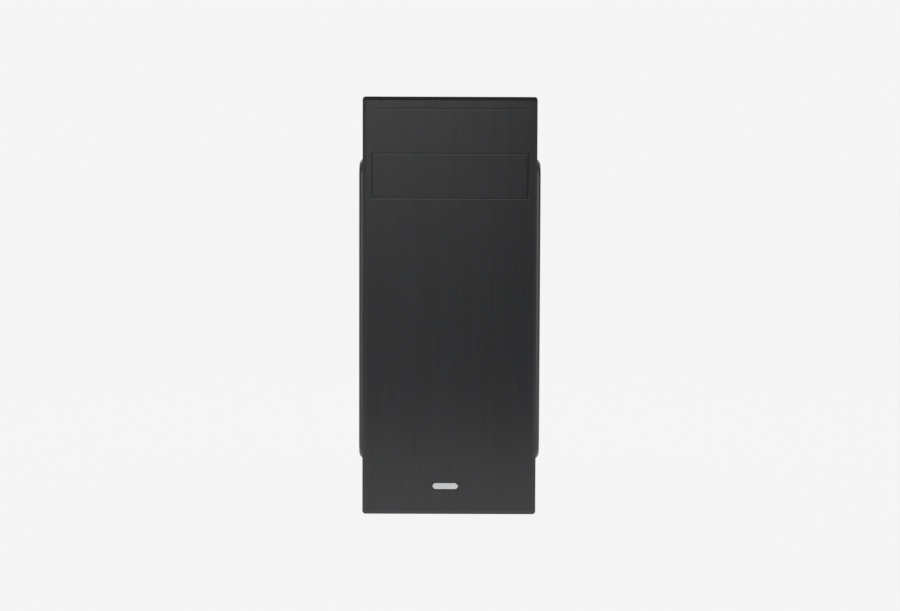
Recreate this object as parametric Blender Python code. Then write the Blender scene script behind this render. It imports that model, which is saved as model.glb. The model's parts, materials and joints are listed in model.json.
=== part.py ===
"""Desktop computer tower, built as an assembly of separate pieces.

The tower stands on the plane Z = 0. Its front faces -Y, its rear +Y, and the motherboard hangs on the
+X wall, so the -X side panel is the one that opens the case. All sizes below are in millimetres; the
meshes are made in metres.
"""

import math

import bmesh
import bpy
from mathutils import Matrix, Vector

MM = 0.001
GAP = 0.3  # left between pieces that touch
SHEET = 1.0  # steel sheet

# ---- driving dimensions -------------------------------------------------------------------------
FRONT_Y = -180.0  # frontmost point of the tower
REAR_Y = 180.0  # rearmost point of the tower
HEIGHT = 403.4
FLOOR_CLEARANCE = 2.0  # under the bezel

BEZEL_HALF = 83.5  # half of the bezel's width
BEZEL_FACE_Y = FRONT_Y + 0.5  # the badge stands 0.5 proud of the face
BEZEL_BACK_Y = -142.3
BEZEL_WALL = 2.5
BEZEL_TOP_WALL = 4.5
BEZEL_CORNER = 3.0
BEZEL_CHAMFER = (3.5, 1.6)  # across the face, and back from it

BAY_WIDTH, BAY_HEIGHT = 149.6, 43.2  # opening for one 5.25 inch drive
BAY_LOW = 306.5
COVER_GAP = 0.45

CHASSIS_HALF = 80.5
CHASSIS_LOW = 10.3
CHASSIS_TOP = HEIGHT - 2.6
CHASSIS_FRONT_Y = -142.0
CHASSIS_REAR_Y = 170.0
INNER_FRONT_Y = CHASSIS_FRONT_Y + SHEET + GAP
INNER_REAR_Y = CHASSIS_REAR_Y - SHEET - GAP
LIP = 12.0

PANEL_OUT = 82.0  # flat outer face of a side panel
PANEL_LOW, PANEL_TOP = CHASSIS_LOW + SHEET + GAP, CHASSIS_TOP - SHEET - GAP
PANEL_FRONT_Y = -141.8
PANEL_REAR_Y = CHASSIS_REAR_Y + GAP + SHEET
BULGE_Y = (-112.0, 140.0)
BULGE_Z = (40.3, 348.7)
BULGE_HEIGHT = 8.0
BULGE_CORNER = 18.0
FLANGE_IN = 70.0  # the panel's rear flange reaches in to this X
THUMBSCREW_X = 76.0
THUMBSCREW_Z = (60.0, 300.0)

FOOT_HEIGHT = 10.0
FOOT_X, FOOT_FRONT_Y, FOOT_REAR_Y = 62.0, -122.0, 146.0

TRAY_X = 74.6  # inner face of the motherboard tray
BOARD_X = 66.7  # component face of the motherboard
BOARD_THICK = 1.6
BOARD_Y = (-46.0, 168.4)
BOARD_Z = (60.0, 304.0)
SEAT_X = BOARD_X - GAP  # where parts on the board begin

SLOT_CENTRES = [68.0 + 20.32 * k for k in range(4)]
LEDGE_X = -46.0

FAN_CENTRE = (-31.0, 245.0)  # X and Z of the rear case fan
FAN_SIZE = 92.0
CASE_GRILLE_RADIUS, PSU_GRILLE_RADIUS = 38.5, 37.0
GRILLE_SLOT, GRILLE_PITCH = 4.6, 7.6
CPU_Y, CPU_Z = 100.0, 235.0
CPU_FAN_SIZE = 80.0
CPU_FAN_X = (-0.8, 19.2)

PSU_X = (-76.5, 73.5)
PSU_Y = (28.7, INNER_REAR_Y)
PSU_TOP = CHASSIS_TOP - 2.5
PSU_LOW = PSU_TOP - 85.9
PSU_FAN_CENTRE = (-30.0, PSU_LOW + 43.0)
PSU_FAN_SIZE = 80.0
INLET_X = 42.0
INLET_Z = PSU_LOW + 56.5
ROCKER_Z = PSU_LOW + 29.0
ROCKER_PIVOT_Y = 163.5
ROCKER_TILT = 10.0

HDD_CENTRE_X = -1.0
HDD_SIZE = (101.6, 147.0, 26.1)
HDD_FRONT_Y, HDD_LOW = -138.0, 238.0

BUTTON_Y = -162.0
POWER_X, RESET_X = -50.0, -32.0
LED_X = (-22.0, -14.0)
USB_X = (4.0, 24.0)
JACK_X = (44.0, 57.0)
POCKET_Z = HEIGHT - 2.0  # floor of the shallow pocket that holds the front controls
IO_BOARD_Z = (HEIGHT - 17.0, HEIGHT - 15.4)

DIMM_Y = (38.0, 28.0)
DIMM_Z = (152.0, 292.2)
LATCH_X, LATCH_Z = 62.5, 295.6

# name: (red, green, blue, roughness, metallic)
FINISHES = {
    "bezel_plastic": (0.040, 0.041, 0.045, 0.42, 0.0),
    "black_paint": (0.035, 0.037, 0.036, 0.45, 0.0),
    "black_plastic": (0.025, 0.025, 0.027, 0.50, 0.0),
    "zinc_steel": (0.55, 0.56, 0.57, 0.38, 0.9),
    "nickel": (0.70, 0.69, 0.66, 0.25, 1.0),
    "aluminium": (0.77, 0.78, 0.79, 0.30, 1.0),
    "rubber": (0.02, 0.02, 0.02, 0.80, 0.0),
    "circuit_green": (0.02, 0.11, 0.05, 0.45, 0.0),
    "socket_ivory": (0.70, 0.68, 0.62, 0.50, 0.0),
    "slot_blue": (0.03, 0.10, 0.35, 0.45, 0.0),
    "cable_black": (0.02, 0.02, 0.02, 0.60, 0.0),
    "cable_red": (0.45, 0.02, 0.02, 0.55, 0.0),
    "led_lens": (0.10, 0.25, 0.60, 0.20, 0.0),
}

# ---- building blocks ----------------------------------------------------------------------------

for old in list(bpy.data.objects):
    bpy.data.objects.remove(old)


def finish(name):
    """The Principled material of that name, made once."""
    found = bpy.data.materials.get(name)
    if found:
        return found
    red, green, blue, roughness, metallic = FINISHES[name]
    made = bpy.data.materials.new(name)
    made.use_nodes = True
    shader = made.node_tree.nodes["Principled BSDF"]
    shader.inputs["Base Color"].default_value = (red, green, blue, 1.0)
    shader.inputs["Roughness"].default_value = roughness
    shader.inputs["Metallic"].default_value = metallic
    return made


def add_box(bm, low, high):
    """A box between two corners."""
    (x0, y0, z0), (x1, y1, z1) = low, high
    corners = [(x, y, z) for x in (x0, x1) for y in (y0, y1) for z in (z0, z1)]
    v = [bm.verts.new(c) for c in corners]
    for a, b, c, d in ((0, 1, 3, 2), (4, 6, 7, 5), (0, 4, 5, 1), (2, 3, 7, 6), (0, 2, 6, 4), (1, 5, 7, 3)):
        bm.faces.new((v[a], v[b], v[c], v[d]))


def along(axis, u, v, w):
    """The point w along the axis, with u and v on the other two axes in X, Y, Z order."""
    return {"X": (w, u, v), "Y": (u, w, v), "Z": (u, v, w)}[axis]


def add_rings(bm, rings):
    """A closed tube through rings of equal length, with both ends filled."""
    made = [[bm.verts.new(p) for p in ring] for ring in rings]
    count = len(made[0])
    for lower, upper in zip(made, made[1:]):
        for i in range(count):
            j = (i + 1) % count
            bm.faces.new((lower[i], lower[j], upper[j], upper[i]))
    bm.faces.new(made[0])
    bm.faces.new(made[-1])


def add_prism(bm, axis, outline, start, end):
    """An outline of (u, v) points pushed from start to end along an axis."""
    add_rings(bm, [[along(axis, u, v, w) for u, v in outline] for w in (start, end)])


def circle(centre, radius, segments):
    step = 2 * math.pi / segments
    return [
        (centre[0] + radius * math.cos((k + 0.5) * step), centre[1] + radius * math.sin((k + 0.5) * step))
        for k in range(segments)
    ]


def add_cylinder(bm, axis, centre, radius, start, end, segments=24):
    add_prism(bm, axis, circle(centre, radius, segments), start, end)


def add_turned(bm, axis, centre, profile, segments=24):
    """A solid of revolution: profile holds (radius, place along the axis), ends included."""
    rings = [[along(axis, u, v, w) for u, v in circle(centre, radius, segments)] for radius, w in profile]
    add_rings(bm, rings)


def rounded_rectangle(u, v, radius, steps):
    """Points round the rectangle u = (low, high), v = (low, high), corner by corner."""
    corners = ((u[1], v[1], 0), (u[0], v[1], 90), (u[0], v[0], 180), (u[1], v[0], 270))
    points = []
    for cu, cv, start in corners:
        inward_u = radius if cu == u[0] else -radius
        inward_v = radius if cv == v[0] else -radius
        for k in range(steps + 1):
            angle = math.radians(start + 90 * k / steps)
            reach_u, reach_v = radius * math.cos(angle), radius * math.sin(angle)
            points.append((cu + inward_u + reach_u, cv + inward_v + reach_v))
    return points


def new_object(name, bm, origin=(0, 0, 0)):
    """Turns a bmesh in millimetres into an object in metres, with its own origin at that point."""
    bmesh.ops.recalc_face_normals(bm, faces=bm.faces)
    bm.transform(Matrix.Scale(MM, 4) @ Matrix.Translation(-Vector(origin)))
    mesh = bpy.data.meshes.new(name)
    bm.to_mesh(mesh)
    bm.free()
    obj = bpy.data.objects.new(name, mesh)
    obj.location = Vector(origin) * MM
    bpy.context.scene.collection.objects.link(obj)
    return obj


def piece(name, bm, material, origin=(0, 0, 0)):
    """A node of the tower."""
    obj = new_object(name, bm, origin)
    obj.data.materials.append(finish(material))
    obj.data.shade_smooth()
    obj.data.set_sharp_from_angle(angle=math.radians(30))
    return obj


def combine(obj, operation, bm, label):
    """Adds a Boolean modifier whose helper is made from bm."""
    helper = new_object(f"{obj.name}_{label}", bm)
    helper.hide_render = True
    helper.display_type = "WIRE"
    modifier = obj.modifiers.new(label, "BOOLEAN")
    modifier.operation = operation
    modifier.solver = "EXACT"
    modifier.object = helper


def cut(obj, bm, label="cut"):
    combine(obj, "DIFFERENCE", bm, label)


def join(obj, bm, label="join"):
    combine(obj, "UNION", bm, label)


def bevel(obj, width, segments=1, angle=40):
    modifier = obj.modifiers.new("bevel", "BEVEL")
    modifier.width = width * MM
    modifier.segments = segments
    modifier.limit_method = "ANGLE"
    modifier.angle_limit = math.radians(angle)


def boxes(*pairs):
    """A bmesh of separate boxes, each given by two corners."""
    bm = bmesh.new()
    for low, high in pairs:
        add_box(bm, low, high)
    return bm


def block(name, low, high, material):
    return piece(name, boxes((low, high)), material)


def channel(name, axis, outline, start, end, material):
    """A folded sheet of constant section."""
    bm = bmesh.new()
    add_prism(bm, axis, outline, start, end)
    return piece(name, bm, material)


def grille(centre, radius, slot, pitch, y):
    """Upright slots that fill a circle, as cutters through the sheet between y[0] and y[1]."""
    bm = bmesh.new()
    count = int((radius - slot) // pitch)
    for k in range(-count, count + 1):
        across = k * pitch
        half = math.sqrt(radius**2 - (abs(across) + slot / 2) ** 2)
        x = centre[0] + across
        for low, high in ((-half, -slot / 2), (slot / 2, half)):  # a bar is left across the middle
            add_box(bm, (x - slot / 2, y[0], centre[1] + low), (x + slot / 2, y[1], centre[1] + high))
    return bm


# ---- feet, base, roof and walls of the chassis ----------------------------------------------------


def make_feet():
    profile = [(9.0, 0.0), (10.5, 1.5), (11.5, FOOT_HEIGHT)]
    places = {
        "foot_front_left": (-FOOT_X, FOOT_FRONT_Y),
        "foot_front_right": (FOOT_X, FOOT_FRONT_Y),
        "foot_rear_left": (-FOOT_X, FOOT_REAR_Y),
        "foot_rear_right": (FOOT_X, FOOT_REAR_Y),
    }
    for name, centre in places.items():
        bm = bmesh.new()
        add_turned(bm, "Z", centre, profile)
        piece(name, bm, "rubber")


def rail_section(level, inward):
    """Section across the base or the roof: a plate with an inner lip that stiffens it and an outer lip
    that forms the groove in which the side panel slides. inward is +1 for the base, -1 for the roof."""
    outer, inner = PANEL_OUT + GAP + SHEET, CHASSIS_HALF
    groove = [
        (outer, 0.0),
        (outer, 8.0),
        (outer - SHEET, 8.0),
        (outer - SHEET, SHEET),
        (inner, SHEET),
        (inner, LIP),
        (inner - SHEET, LIP),
        (inner - SHEET, SHEET),
    ]
    half = [(u, level + inward * v) for u, v in groove]
    return half + [(-u, v) for u, v in reversed(half)]


def make_base_and_roof():
    span = (INNER_FRONT_Y, INNER_REAR_Y)
    base = channel("chassis_base", "Y", rail_section(CHASSIS_LOW, 1), *span, "zinc_steel")
    vents = [
        ((-45.0, y, CHASSIS_LOW - 1), (45.0, y + 5.0, CHASSIS_LOW + 2))
        for y in range(-40, 60, 14)
    ]
    cut(base, boxes(*vents), "vents")
    channel("chassis_roof", "Y", rail_section(CHASSIS_TOP, -1), *span, "black_paint")


def end_wall(name, face_y, lip_y):
    """A flat wall across the chassis with a lip folded along both sides."""
    low_y, high_y = sorted((face_y, face_y + math.copysign(SHEET, lip_y - face_y)))
    wall = block(
        name, (-CHASSIS_HALF, low_y, CHASSIS_LOW), (CHASSIS_HALF, high_y, CHASSIS_TOP), "zinc_steel"
    )
    lips = []
    root_y = (low_y + high_y) / 2
    for x in (-CHASSIS_HALF, CHASSIS_HALF - SHEET):
        near, far = sorted((root_y, lip_y))
        lips.append(((x, near, CHASSIS_LOW + LIP + 2), (x + SHEET, far, CHASSIS_TOP - LIP - 2)))
    join(wall, boxes(*lips), "lips")
    return wall


def bezel_clips():
    """X and Z of the six prongs that hold the bezel on the front plate."""
    return [(side * 77.5, z) for side in (-1, 1) for z in (48.0, 200.0, HEIGHT - 36.0)]


def make_front_plate():
    wall = end_wall("front_plate", CHASSIS_FRONT_Y, CHASSIS_FRONT_Y + LIP)
    through = (CHASSIS_FRONT_Y - 3, CHASSIS_FRONT_Y + 4)
    bay = ((-73.0, through[0], BAY_LOW - 0.4), (73.0, through[1], BAY_LOW + 2 * BAY_HEIGHT))
    lead_hole = ((60.0, through[0], 262.0), (74.0, through[1], 280.0))
    intake = [((x - 2.5, through[0], 70.0), (x + 2.5, through[1], 185.0)) for x in range(-50, 51, 10)]
    clips = [
        ((x - 1.9, through[0], z - 4.6), (x + 1.9, through[1], z + 4.6)) for x, z in bezel_clips()
    ]
    cut(wall, boxes(bay, lead_hole, *intake, *clips), "openings")


def make_rear_panel():
    wall = end_wall("rear_panel", CHASSIS_REAR_Y, CHASSIS_REAR_Y - LIP)
    inner = CHASSIS_REAR_Y - SHEET / 2
    card_ledge = ((LEDGE_X, inner, 57.0), (LEDGE_X + SHEET, REAR_Y, 140.0))
    psu_ledge = ((-68.0, 150.0, PSU_LOW - 1.6), (60.0, inner, PSU_LOW - 0.6))
    join(wall, boxes(card_ledge, psu_ledge), "ledges")
    through = (CHASSIS_REAR_Y - 4, CHASSIS_REAR_Y + 3)
    psu = ((-70.0, through[0], PSU_LOW + 6.0), (67.0, through[1], PSU_TOP - 6.0))
    ports = ((23.9, through[0], 143.0), (68.5, through[1], 301.8))
    tabs = ((LEDGE_X - 2.6, through[0], 57.5), (LEDGE_X, through[1], 139.5))
    cards = [((-43.0, through[0], z - 6.5), (58.0, through[1], z + 6.5)) for z in SLOT_CENTRES]
    cut(wall, boxes(psu, ports, tabs, *cards), "openings")
    cut(wall, grille(FAN_CENTRE, CASE_GRILLE_RADIUS, GRILLE_SLOT, GRILLE_PITCH, through), "grille")
    screws = bmesh.new()
    for x in (-THUMBSCREW_X, THUMBSCREW_X):
        for z in THUMBSCREW_Z:
            add_cylinder(screws, "Y", (x, z), 2.2, *through, segments=12)
    cut(wall, screws, "screw_holes")


def make_slot_cover_plate():
    """Four blanks for the card slots, stamped from one sheet and joined along their screwed tab."""
    z = (SLOT_CENTRES[0] - 9.2, SLOT_CENTRES[-1] + 9.2)
    tab_x = (LEDGE_X - GAP - SHEET, LEDGE_X - GAP)
    back_y = INNER_REAR_Y
    section = [
        (tab_x[0], back_y - SHEET),
        (61.0, back_y - SHEET),
        (61.0, back_y),
        (tab_x[1], back_y),
        (tab_x[1], REAR_Y - 1.0),
        (tab_x[0], REAR_Y - 1.0),
    ]
    plate = channel("slot_cover_plate", "Z", section, *z, "zinc_steel")
    between = [
        ((-42.0, back_y - 3, low + 9.2), (63.0, back_y + 1, low + 11.12)) for low in SLOT_CENTRES[:-1]
    ]
    cut(plate, boxes(*between), "gaps")


def make_tray():
    """The motherboard's wall, with the pressed studs that the board is screwed to."""
    tray = block(
        "motherboard_tray",
        (TRAY_X, INNER_FRONT_Y, PANEL_LOW),
        (TRAY_X + SHEET, INNER_REAR_Y, PANEL_TOP),
        "zinc_steel",
    )
    studs = bmesh.new()
    for y in (-36.0, 60.0, 158.0):
        for z in (70.0, 172.0, 296.0):
            top = BOARD_X + BOARD_THICK + GAP
            add_cylinder(studs, "X", (y, z), 3.0, top, TRAY_X + 0.5, segments=8)
    join(tray, studs, "studs")
    lead_holes = [
        ((TRAY_X - 1, -92.0, z), (TRAY_X + 3, -62.0, z + 18.0)) for z in (70.0, 150.0, 230.0)
    ]
    screw_notches = [
        ((TRAY_X - 1, 160.0, z - 3.5), (TRAY_X + 3, CHASSIS_REAR_Y, z + 3.5)) for z in THUMBSCREW_Z
    ]
    cut(tray, boxes(*lead_holes, *screw_notches), "lead_holes_and_notches")


def make_drive_brackets():
    """The wall and shelves that carry the 5.25 inch bays, and the cage for 3.5 inch drives under them."""
    outer, inner, shelf = -74.3, -73.3, -61.0
    low, top = BAY_LOW - 1.7, PANEL_TOP
    section = [
        (outer, low),
        (shelf, low),
        (shelf, low + SHEET),
        (inner, low + SHEET),
        (inner, top - SHEET),
        (shelf, top - SHEET),
        (shelf, top),
        (outer, top),
    ]
    wall = channel("drive_bay_bracket", "Y", section, INNER_FRONT_Y, 8.0, "zinc_steel")
    slots = [
        ((outer - 1, y, z), (inner + 1, y + 14.0, z + 3.4))
        for y in (-120.0, -60.0)
        for z in (BAY_LOW + 10.0, BAY_LOW + 27.0, BAY_LOW + 53.0, BAY_LOW + 70.0)
    ]
    cut(wall, boxes(*slots), "screw_slots")

    half = HDD_SIZE[0] / 2 + 0.5
    left, right = HDD_CENTRE_X - half, HDD_CENTRE_X + half
    floor, rim, lip = 232.0, low - GAP, 9.0
    section = [
        (left - lip, rim - SHEET),
        (left - lip, rim),
        (left, rim),
        (left, floor + SHEET),
        (right, floor + SHEET),
        (right, rim),
        (right + lip, rim),
        (right + lip, rim - SHEET),
        (right + SHEET, rim - SHEET),
        (right + SHEET, floor),
        (left - SHEET, floor),
        (left - SHEET, rim - SHEET),
    ]
    cage = channel("hard_drive_cage", "Y", section, INNER_FRONT_Y, 6.0, "zinc_steel")
    slots = [
        ((x, y, z), (x + 3.0, y + 12.0, z + 3.4))
        for x in (left - 2.0, right - 1.0)
        for y in (-115.0, -40.0)
        for z in (242.0, 276.0)
    ]
    cut(cage, boxes(*slots), "screw_slots")


# ---- side panels and their thumbscrews -------------------------------------------------------------


def panel_skin(side):
    """The outer skin of a side panel: a flat sheet with a raised field, and a flange at the rear."""
    bm = bmesh.new()
    steps = 5
    rings = []
    for height, inset in ((0.0, 0.0), (5.4, 3.4), (7.4, 5.2), (BULGE_HEIGHT, 8.0)):
        y = (BULGE_Y[0] + inset, BULGE_Y[1] - inset)
        z = (BULGE_Z[0] + inset, BULGE_Z[1] - inset)
        outline = rounded_rectangle(y, z, BULGE_CORNER - inset * 0.6, steps)
        rings.append([bm.verts.new((side * (PANEL_OUT + height), u, v)) for u, v in outline])
    for lower, upper in zip(rings, rings[1:]):
        for i in range(len(lower)):
            j = (i + 1) % len(lower)
            bm.faces.new((lower[i], lower[j], upper[j], upper[i]))
    bm.faces.new(rings[-1])
    edges = (
        (PANEL_REAR_Y, PANEL_TOP),
        (PANEL_FRONT_Y, PANEL_TOP),
        (PANEL_FRONT_Y, PANEL_LOW),
        (PANEL_REAR_Y, PANEL_LOW),
    )
    rim = [bm.verts.new((side * PANEL_OUT, y, z)) for y, z in edges]
    for k in range(4):
        arc = rings[0][k * (steps + 1) : (k + 1) * (steps + 1)]
        following = rings[0][((k + 1) * (steps + 1)) % len(rings[0])]
        for a, b in zip(arc, arc[1:]):
            bm.faces.new((rim[k], b, a))
        bm.faces.new((rim[k], rim[(k + 1) % 4], following, arc[-1]))
    flange = [bm.verts.new((side * FLANGE_IN, PANEL_REAR_Y, z)) for z in (PANEL_TOP, PANEL_LOW)]
    bm.faces.new((rim[0], rim[3], flange[1], flange[0]))
    bmesh.ops.recalc_face_normals(bm, faces=bm.faces)
    bm.faces.ensure_lookup_table()
    field = max(bm.faces, key=lambda f: abs(f.calc_center_median().x))
    field.normal_update()
    if field.normal.x * side < 0:
        bmesh.ops.reverse_faces(bm, faces=bm.faces)
    return bm


def make_side_panel(name, side):
    bm = panel_skin(side)
    bm.transform(Matrix.Scale(MM, 4))
    mesh = bpy.data.meshes.new(name)
    bm.to_mesh(mesh)
    bm.free()
    panel = bpy.data.objects.new(name, mesh)
    bpy.context.scene.collection.objects.link(panel)
    mesh.materials.append(finish("black_paint"))
    mesh.shade_smooth()
    mesh.set_sharp_from_angle(angle=math.radians(30))
    solid = panel.modifiers.new("sheet", "SOLIDIFY")
    solid.thickness = SHEET * MM
    solid.offset = -1.0
    solid.use_even_offset = True
    holes = bmesh.new()
    for z in THUMBSCREW_Z:
        add_cylinder(
            holes, "Y", (side * THUMBSCREW_X, z), 2.2, PANEL_REAR_Y - 3, PANEL_REAR_Y + 3, segments=12
        )
    cut(panel, holes, "screw_holes")
    return panel


def make_side_panels():
    left = make_side_panel("left_side_panel", -1)
    make_side_panel("right_side_panel", 1)
    outer = PANEL_OUT + BULGE_HEIGHT
    vents = []
    for middle_z, half in ((CPU_Z, 32.0), (100.0, 20.0)):
        for k in range(-4, 5):
            y = CPU_Y - 14.0 + 8.0 * k
            low, high = middle_z - half, middle_z + half
            vents.append(((-outer - 2, y - 1.8, low), (-outer + 4, y + 1.8, high)))
    cut(left, boxes(*vents), "vents")


def make_thumbscrews():
    start = PANEL_REAR_Y + GAP
    profile = [
        (1.75, 163.0),
        (1.75, start),
        (5.0, start),
        (6.0, start + 1.0),
        (6.0, REAR_Y - 0.8),
        (5.2, REAR_Y),
    ]
    for side, word in ((-1, "left"), (1, "right")):
        for z, level in zip(THUMBSCREW_Z, ("lower", "upper")):
            centre = (side * THUMBSCREW_X, z)
            bm = bmesh.new()
            add_turned(bm, "Y", centre, profile)
            screw = piece(f"thumbscrew_{word}_{level}", bm, "nickel")
            drive = boxes(
                ((centre[0] - 3.0, REAR_Y - 2.0, z - 0.6), (centre[0] + 3.0, REAR_Y + 1, z + 0.6))
            )
            cut(screw, drive, "drive")


# ---- front bezel and its controls ------------------------------------------------------------------


def make_bezel():
    bm = bmesh.new()
    width, depth = BEZEL_CHAMFER
    rings = []
    for y, inset in ((BEZEL_BACK_Y, 0.0), (BEZEL_FACE_Y + depth, 0.0), (BEZEL_FACE_Y, width)):
        outline = rounded_rectangle(
            (inset - BEZEL_HALF, BEZEL_HALF - inset),
            (FLOOR_CLEARANCE + inset, HEIGHT - inset),
            max(BEZEL_CORNER - inset, 0.6),
            3,
        )
        rings.append([(u, y, v) for u, v in outline])
    add_rings(bm, rings)
    bezel = piece("front_bezel", bm, "bezel_plastic")

    inside = BEZEL_FACE_Y + BEZEL_WALL
    hollow = (
        (BEZEL_WALL - BEZEL_HALF, inside, FLOOR_CLEARANCE + BEZEL_WALL),
        (BEZEL_HALF - BEZEL_WALL, BEZEL_BACK_Y + 1, HEIGHT - BEZEL_TOP_WALL),
    )
    cut(bezel, boxes(hollow), "hollow")

    half, low, high = BAY_WIDTH / 2, BAY_LOW, BAY_LOW + BAY_HEIGHT
    collar = ((-half - 2.0, inside - 0.5, low - 2.0), (half + 2.0, inside + 14.0, high + 2.0))
    ribs = []
    prongs = []
    for x, z in bezel_clips():
        wall = math.copysign(BEZEL_HALF - 1.0, x)
        near = x - math.copysign(2.0, x)
        ribs.append(((min(near, wall), -160.0, z - 4.0), (max(near, wall), -143.0, z + 4.0)))
        prongs.append(((x - 1.5, -150.0, z - 3.6), (x + 1.5, -136.0, z + 3.6)))
    join(bezel, boxes(collar, *ribs), "collar_and_ribs")
    join(bezel, boxes(*prongs), "prongs")

    bay = ((-half, BEZEL_FACE_Y - 2, low), (half, inside + 20.0, high))
    groove_z = high + BAY_HEIGHT - 1.0
    groove = ((-half, BEZEL_FACE_Y - 1, groove_z), (half, BEZEL_FACE_Y + 0.6, groove_z + 0.9))
    badge = ((-16.0, BEZEL_FACE_Y - 1, 26.2), (9.0, BEZEL_FACE_Y + 0.7, 32.8))
    pocket = ((-66.0, -174.0, POCKET_Z), (66.0, -150.0, HEIGHT + 1))
    grip = ((-40.0, -171.0, 0.0), (40.0, -150.0, 6.0))
    cut(bezel, boxes(bay, groove, badge, pocket, grip), "openings")

    vents = []
    for side in (-1, 1):
        x = sorted((side * (BEZEL_HALF - 4), side * (BEZEL_HALF + 2)))
        vents += [((x[0], -171.0, z), (x[1], -152.0, z + 5.0)) for z in range(70, 190, 10)]
    cut(bezel, boxes(*vents), "side_vents")

    holes = bmesh.new()
    reach = (HEIGHT - BEZEL_TOP_WALL - 2, HEIGHT + 2)
    add_cylinder(holes, "Z", (POWER_X, BUTTON_Y), 7.0, *reach)
    add_cylinder(holes, "Z", (RESET_X, BUTTON_Y), 2.9, *reach, segments=16)
    for x in LED_X:
        add_cylinder(holes, "Z", (x, BUTTON_Y), 1.7, *reach, segments=12)
    for x in JACK_X:
        add_cylinder(holes, "Z", (x, BUTTON_Y), 3.6, *reach, segments=16)
    for x in USB_X:
        add_box(holes, (x - 6.9, BUTTON_Y - 3.2, reach[0]), (x + 6.9, BUTTON_Y + 3.2, reach[1]))
    cut(bezel, holes, "control_holes")


def make_bay_cover():
    half, low, high = BAY_WIDTH / 2 - COVER_GAP, BAY_LOW + COVER_GAP, BAY_LOW + BAY_HEIGHT - COVER_GAP
    back = BEZEL_FACE_Y + 13.0
    cover = block("bay_cover", (-half, BEZEL_FACE_Y, low), (half, back, high), "bezel_plastic")
    bevel(cover, 0.5)
    hollow = ((1.6 - half, BEZEL_FACE_Y + 2.2, low + 1.6), (half - 1.6, back + 2, high - 1.6))
    cut(cover, boxes(hollow), "hollow")
    middle = (low + high) / 2
    tongues = [
        ((x, back - 4.0, middle - 9.0), (x + 1.2, back + 14.0, middle + 9.0))
        for x in (0.2 - half, half - 1.4)
    ]
    join(cover, boxes(*tongues), "tongues")


def make_badge():
    badge = block("badge", (-15.7, FRONT_Y, 26.5), (8.7, BEZEL_FACE_Y + 0.4, 32.5), "aluminium")
    bevel(badge, 0.25)


def make_button(name, x, radius, segments):
    """A push button: cap, retaining collar under the bezel, and a stem above its switch."""
    top, wall = HEIGHT - 0.3, HEIGHT - BEZEL_TOP_WALL
    profile = [
        (radius * 0.4, IO_BOARD_Z[1] + 5.0),
        (radius * 0.4, wall - 3.6),
        (radius + 1.2, wall - 3.6),
        (radius + 1.2, wall - GAP - 0.2),
        (radius, wall - GAP - 0.2),
        (radius, top - 0.6),
        (radius - 0.6, top),
    ]
    bm = bmesh.new()
    add_turned(bm, "Z", (x, BUTTON_Y), profile, segments)
    piece(name, bm, "black_plastic", origin=(x, BUTTON_Y, wall))


def make_front_controls():
    make_button("power_button", POWER_X, 6.6, 24)
    make_button("reset_button", RESET_X, 2.5, 16)
    low, high = IO_BOARD_Z
    board = block("front_io_board", (-62.0, -174.0, low), (64.0, -151.0, high), "circuit_green")
    switches = [
        ((x - 3.0, BUTTON_Y - 3.0, low + 0.5), (x + 3.0, BUTTON_Y + 3.0, high + 2.4))
        for x in (POWER_X, RESET_X)
    ]
    join(board, boxes(*switches), "switches")
    for x, name in zip(LED_X, ("power_light_pipe", "disk_light_pipe")):
        bm = bmesh.new()
        add_turned(
            bm,
            "Z",
            (x, BUTTON_Y),
            [(1.4, high + GAP), (1.4, POCKET_Z + 0.4), (0.8, POCKET_Z + 1.0)],
            segments=12,
        )
        piece(name, bm, "led_lens")
    for k, x in enumerate(USB_X, start=1):
        low_z, top = high + GAP, POCKET_Z + 0.8
        corners = ((x - 6.5, BUTTON_Y - 2.85, low_z), (x + 6.5, BUTTON_Y + 2.85, top))
        port = block(f"front_usb_port_{k}", *corners, "nickel")
        mouth = ((x - 6.0, BUTTON_Y - 2.35, top - 1.5), (x + 6.0, BUTTON_Y + 2.35, top + 1))
        slot = ((x - 5.7, BUTTON_Y - 2.2, top - 11.0), (x + 5.7, BUTTON_Y + 0.2, top - 1.0))
        cut(port, boxes(mouth), "mouth")
        cut(port, boxes(slot), "slot")
    jacks = block(
        "audio_jacks",
        (JACK_X[0] - 5.5, BUTTON_Y - 6.0, high + GAP),
        (JACK_X[1] + 5.5, BUTTON_Y + 6.0, HEIGHT - BEZEL_TOP_WALL - GAP),
        "black_plastic",
    )
    barrels, bores = bmesh.new(), bmesh.new()
    for x in JACK_X:
        add_cylinder(barrels, "Z", (x, BUTTON_Y), 3.2, high + 5, POCKET_Z + 0.6, segments=16)
        add_cylinder(bores, "Z", (x, BUTTON_Y), 1.8, high + 2, POCKET_Z + 2, segments=12)
    join(jacks, barrels, "barrels")
    cut(jacks, bores, "bores")


# ---- fans ------------------------------------------------------------------------------------------


def hub_and_arms(hub, reach, arms, half_width):
    """Outline of a round hub with straight arms out to a radius."""
    points = []
    for k in range(arms):
        middle = math.radians(45) + 2 * math.pi * k / arms
        for side in (-1, 1):
            for radius in (hub, reach) if side < 0 else (reach, hub):
                angle = middle + side * math.asin(half_width / radius)
                points.append((radius * math.cos(angle), radius * math.sin(angle)))
        for part in (0.25, 0.5, 0.75):
            angle = middle + 2 * math.pi * part / arms
            points.append((hub * math.cos(angle), hub * math.sin(angle)))
    return points


def blades(hub, tip, count, thickness):
    """Outline of a fan wheel: a hub with thin radial blades."""
    points = []
    for k in range(count):
        middle = 2 * math.pi * k / count
        for side in (-1, 1):
            for radius in (hub, tip) if side < 0 else (tip, hub):
                angle = middle + side * thickness / (2 * radius)
                points.append((radius * math.cos(angle), radius * math.sin(angle)))
        for part in (0.33, 0.67):
            angle = middle + 2 * math.pi * part / count
            points.append((hub * math.cos(angle), hub * math.sin(angle)))
    return points


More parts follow.
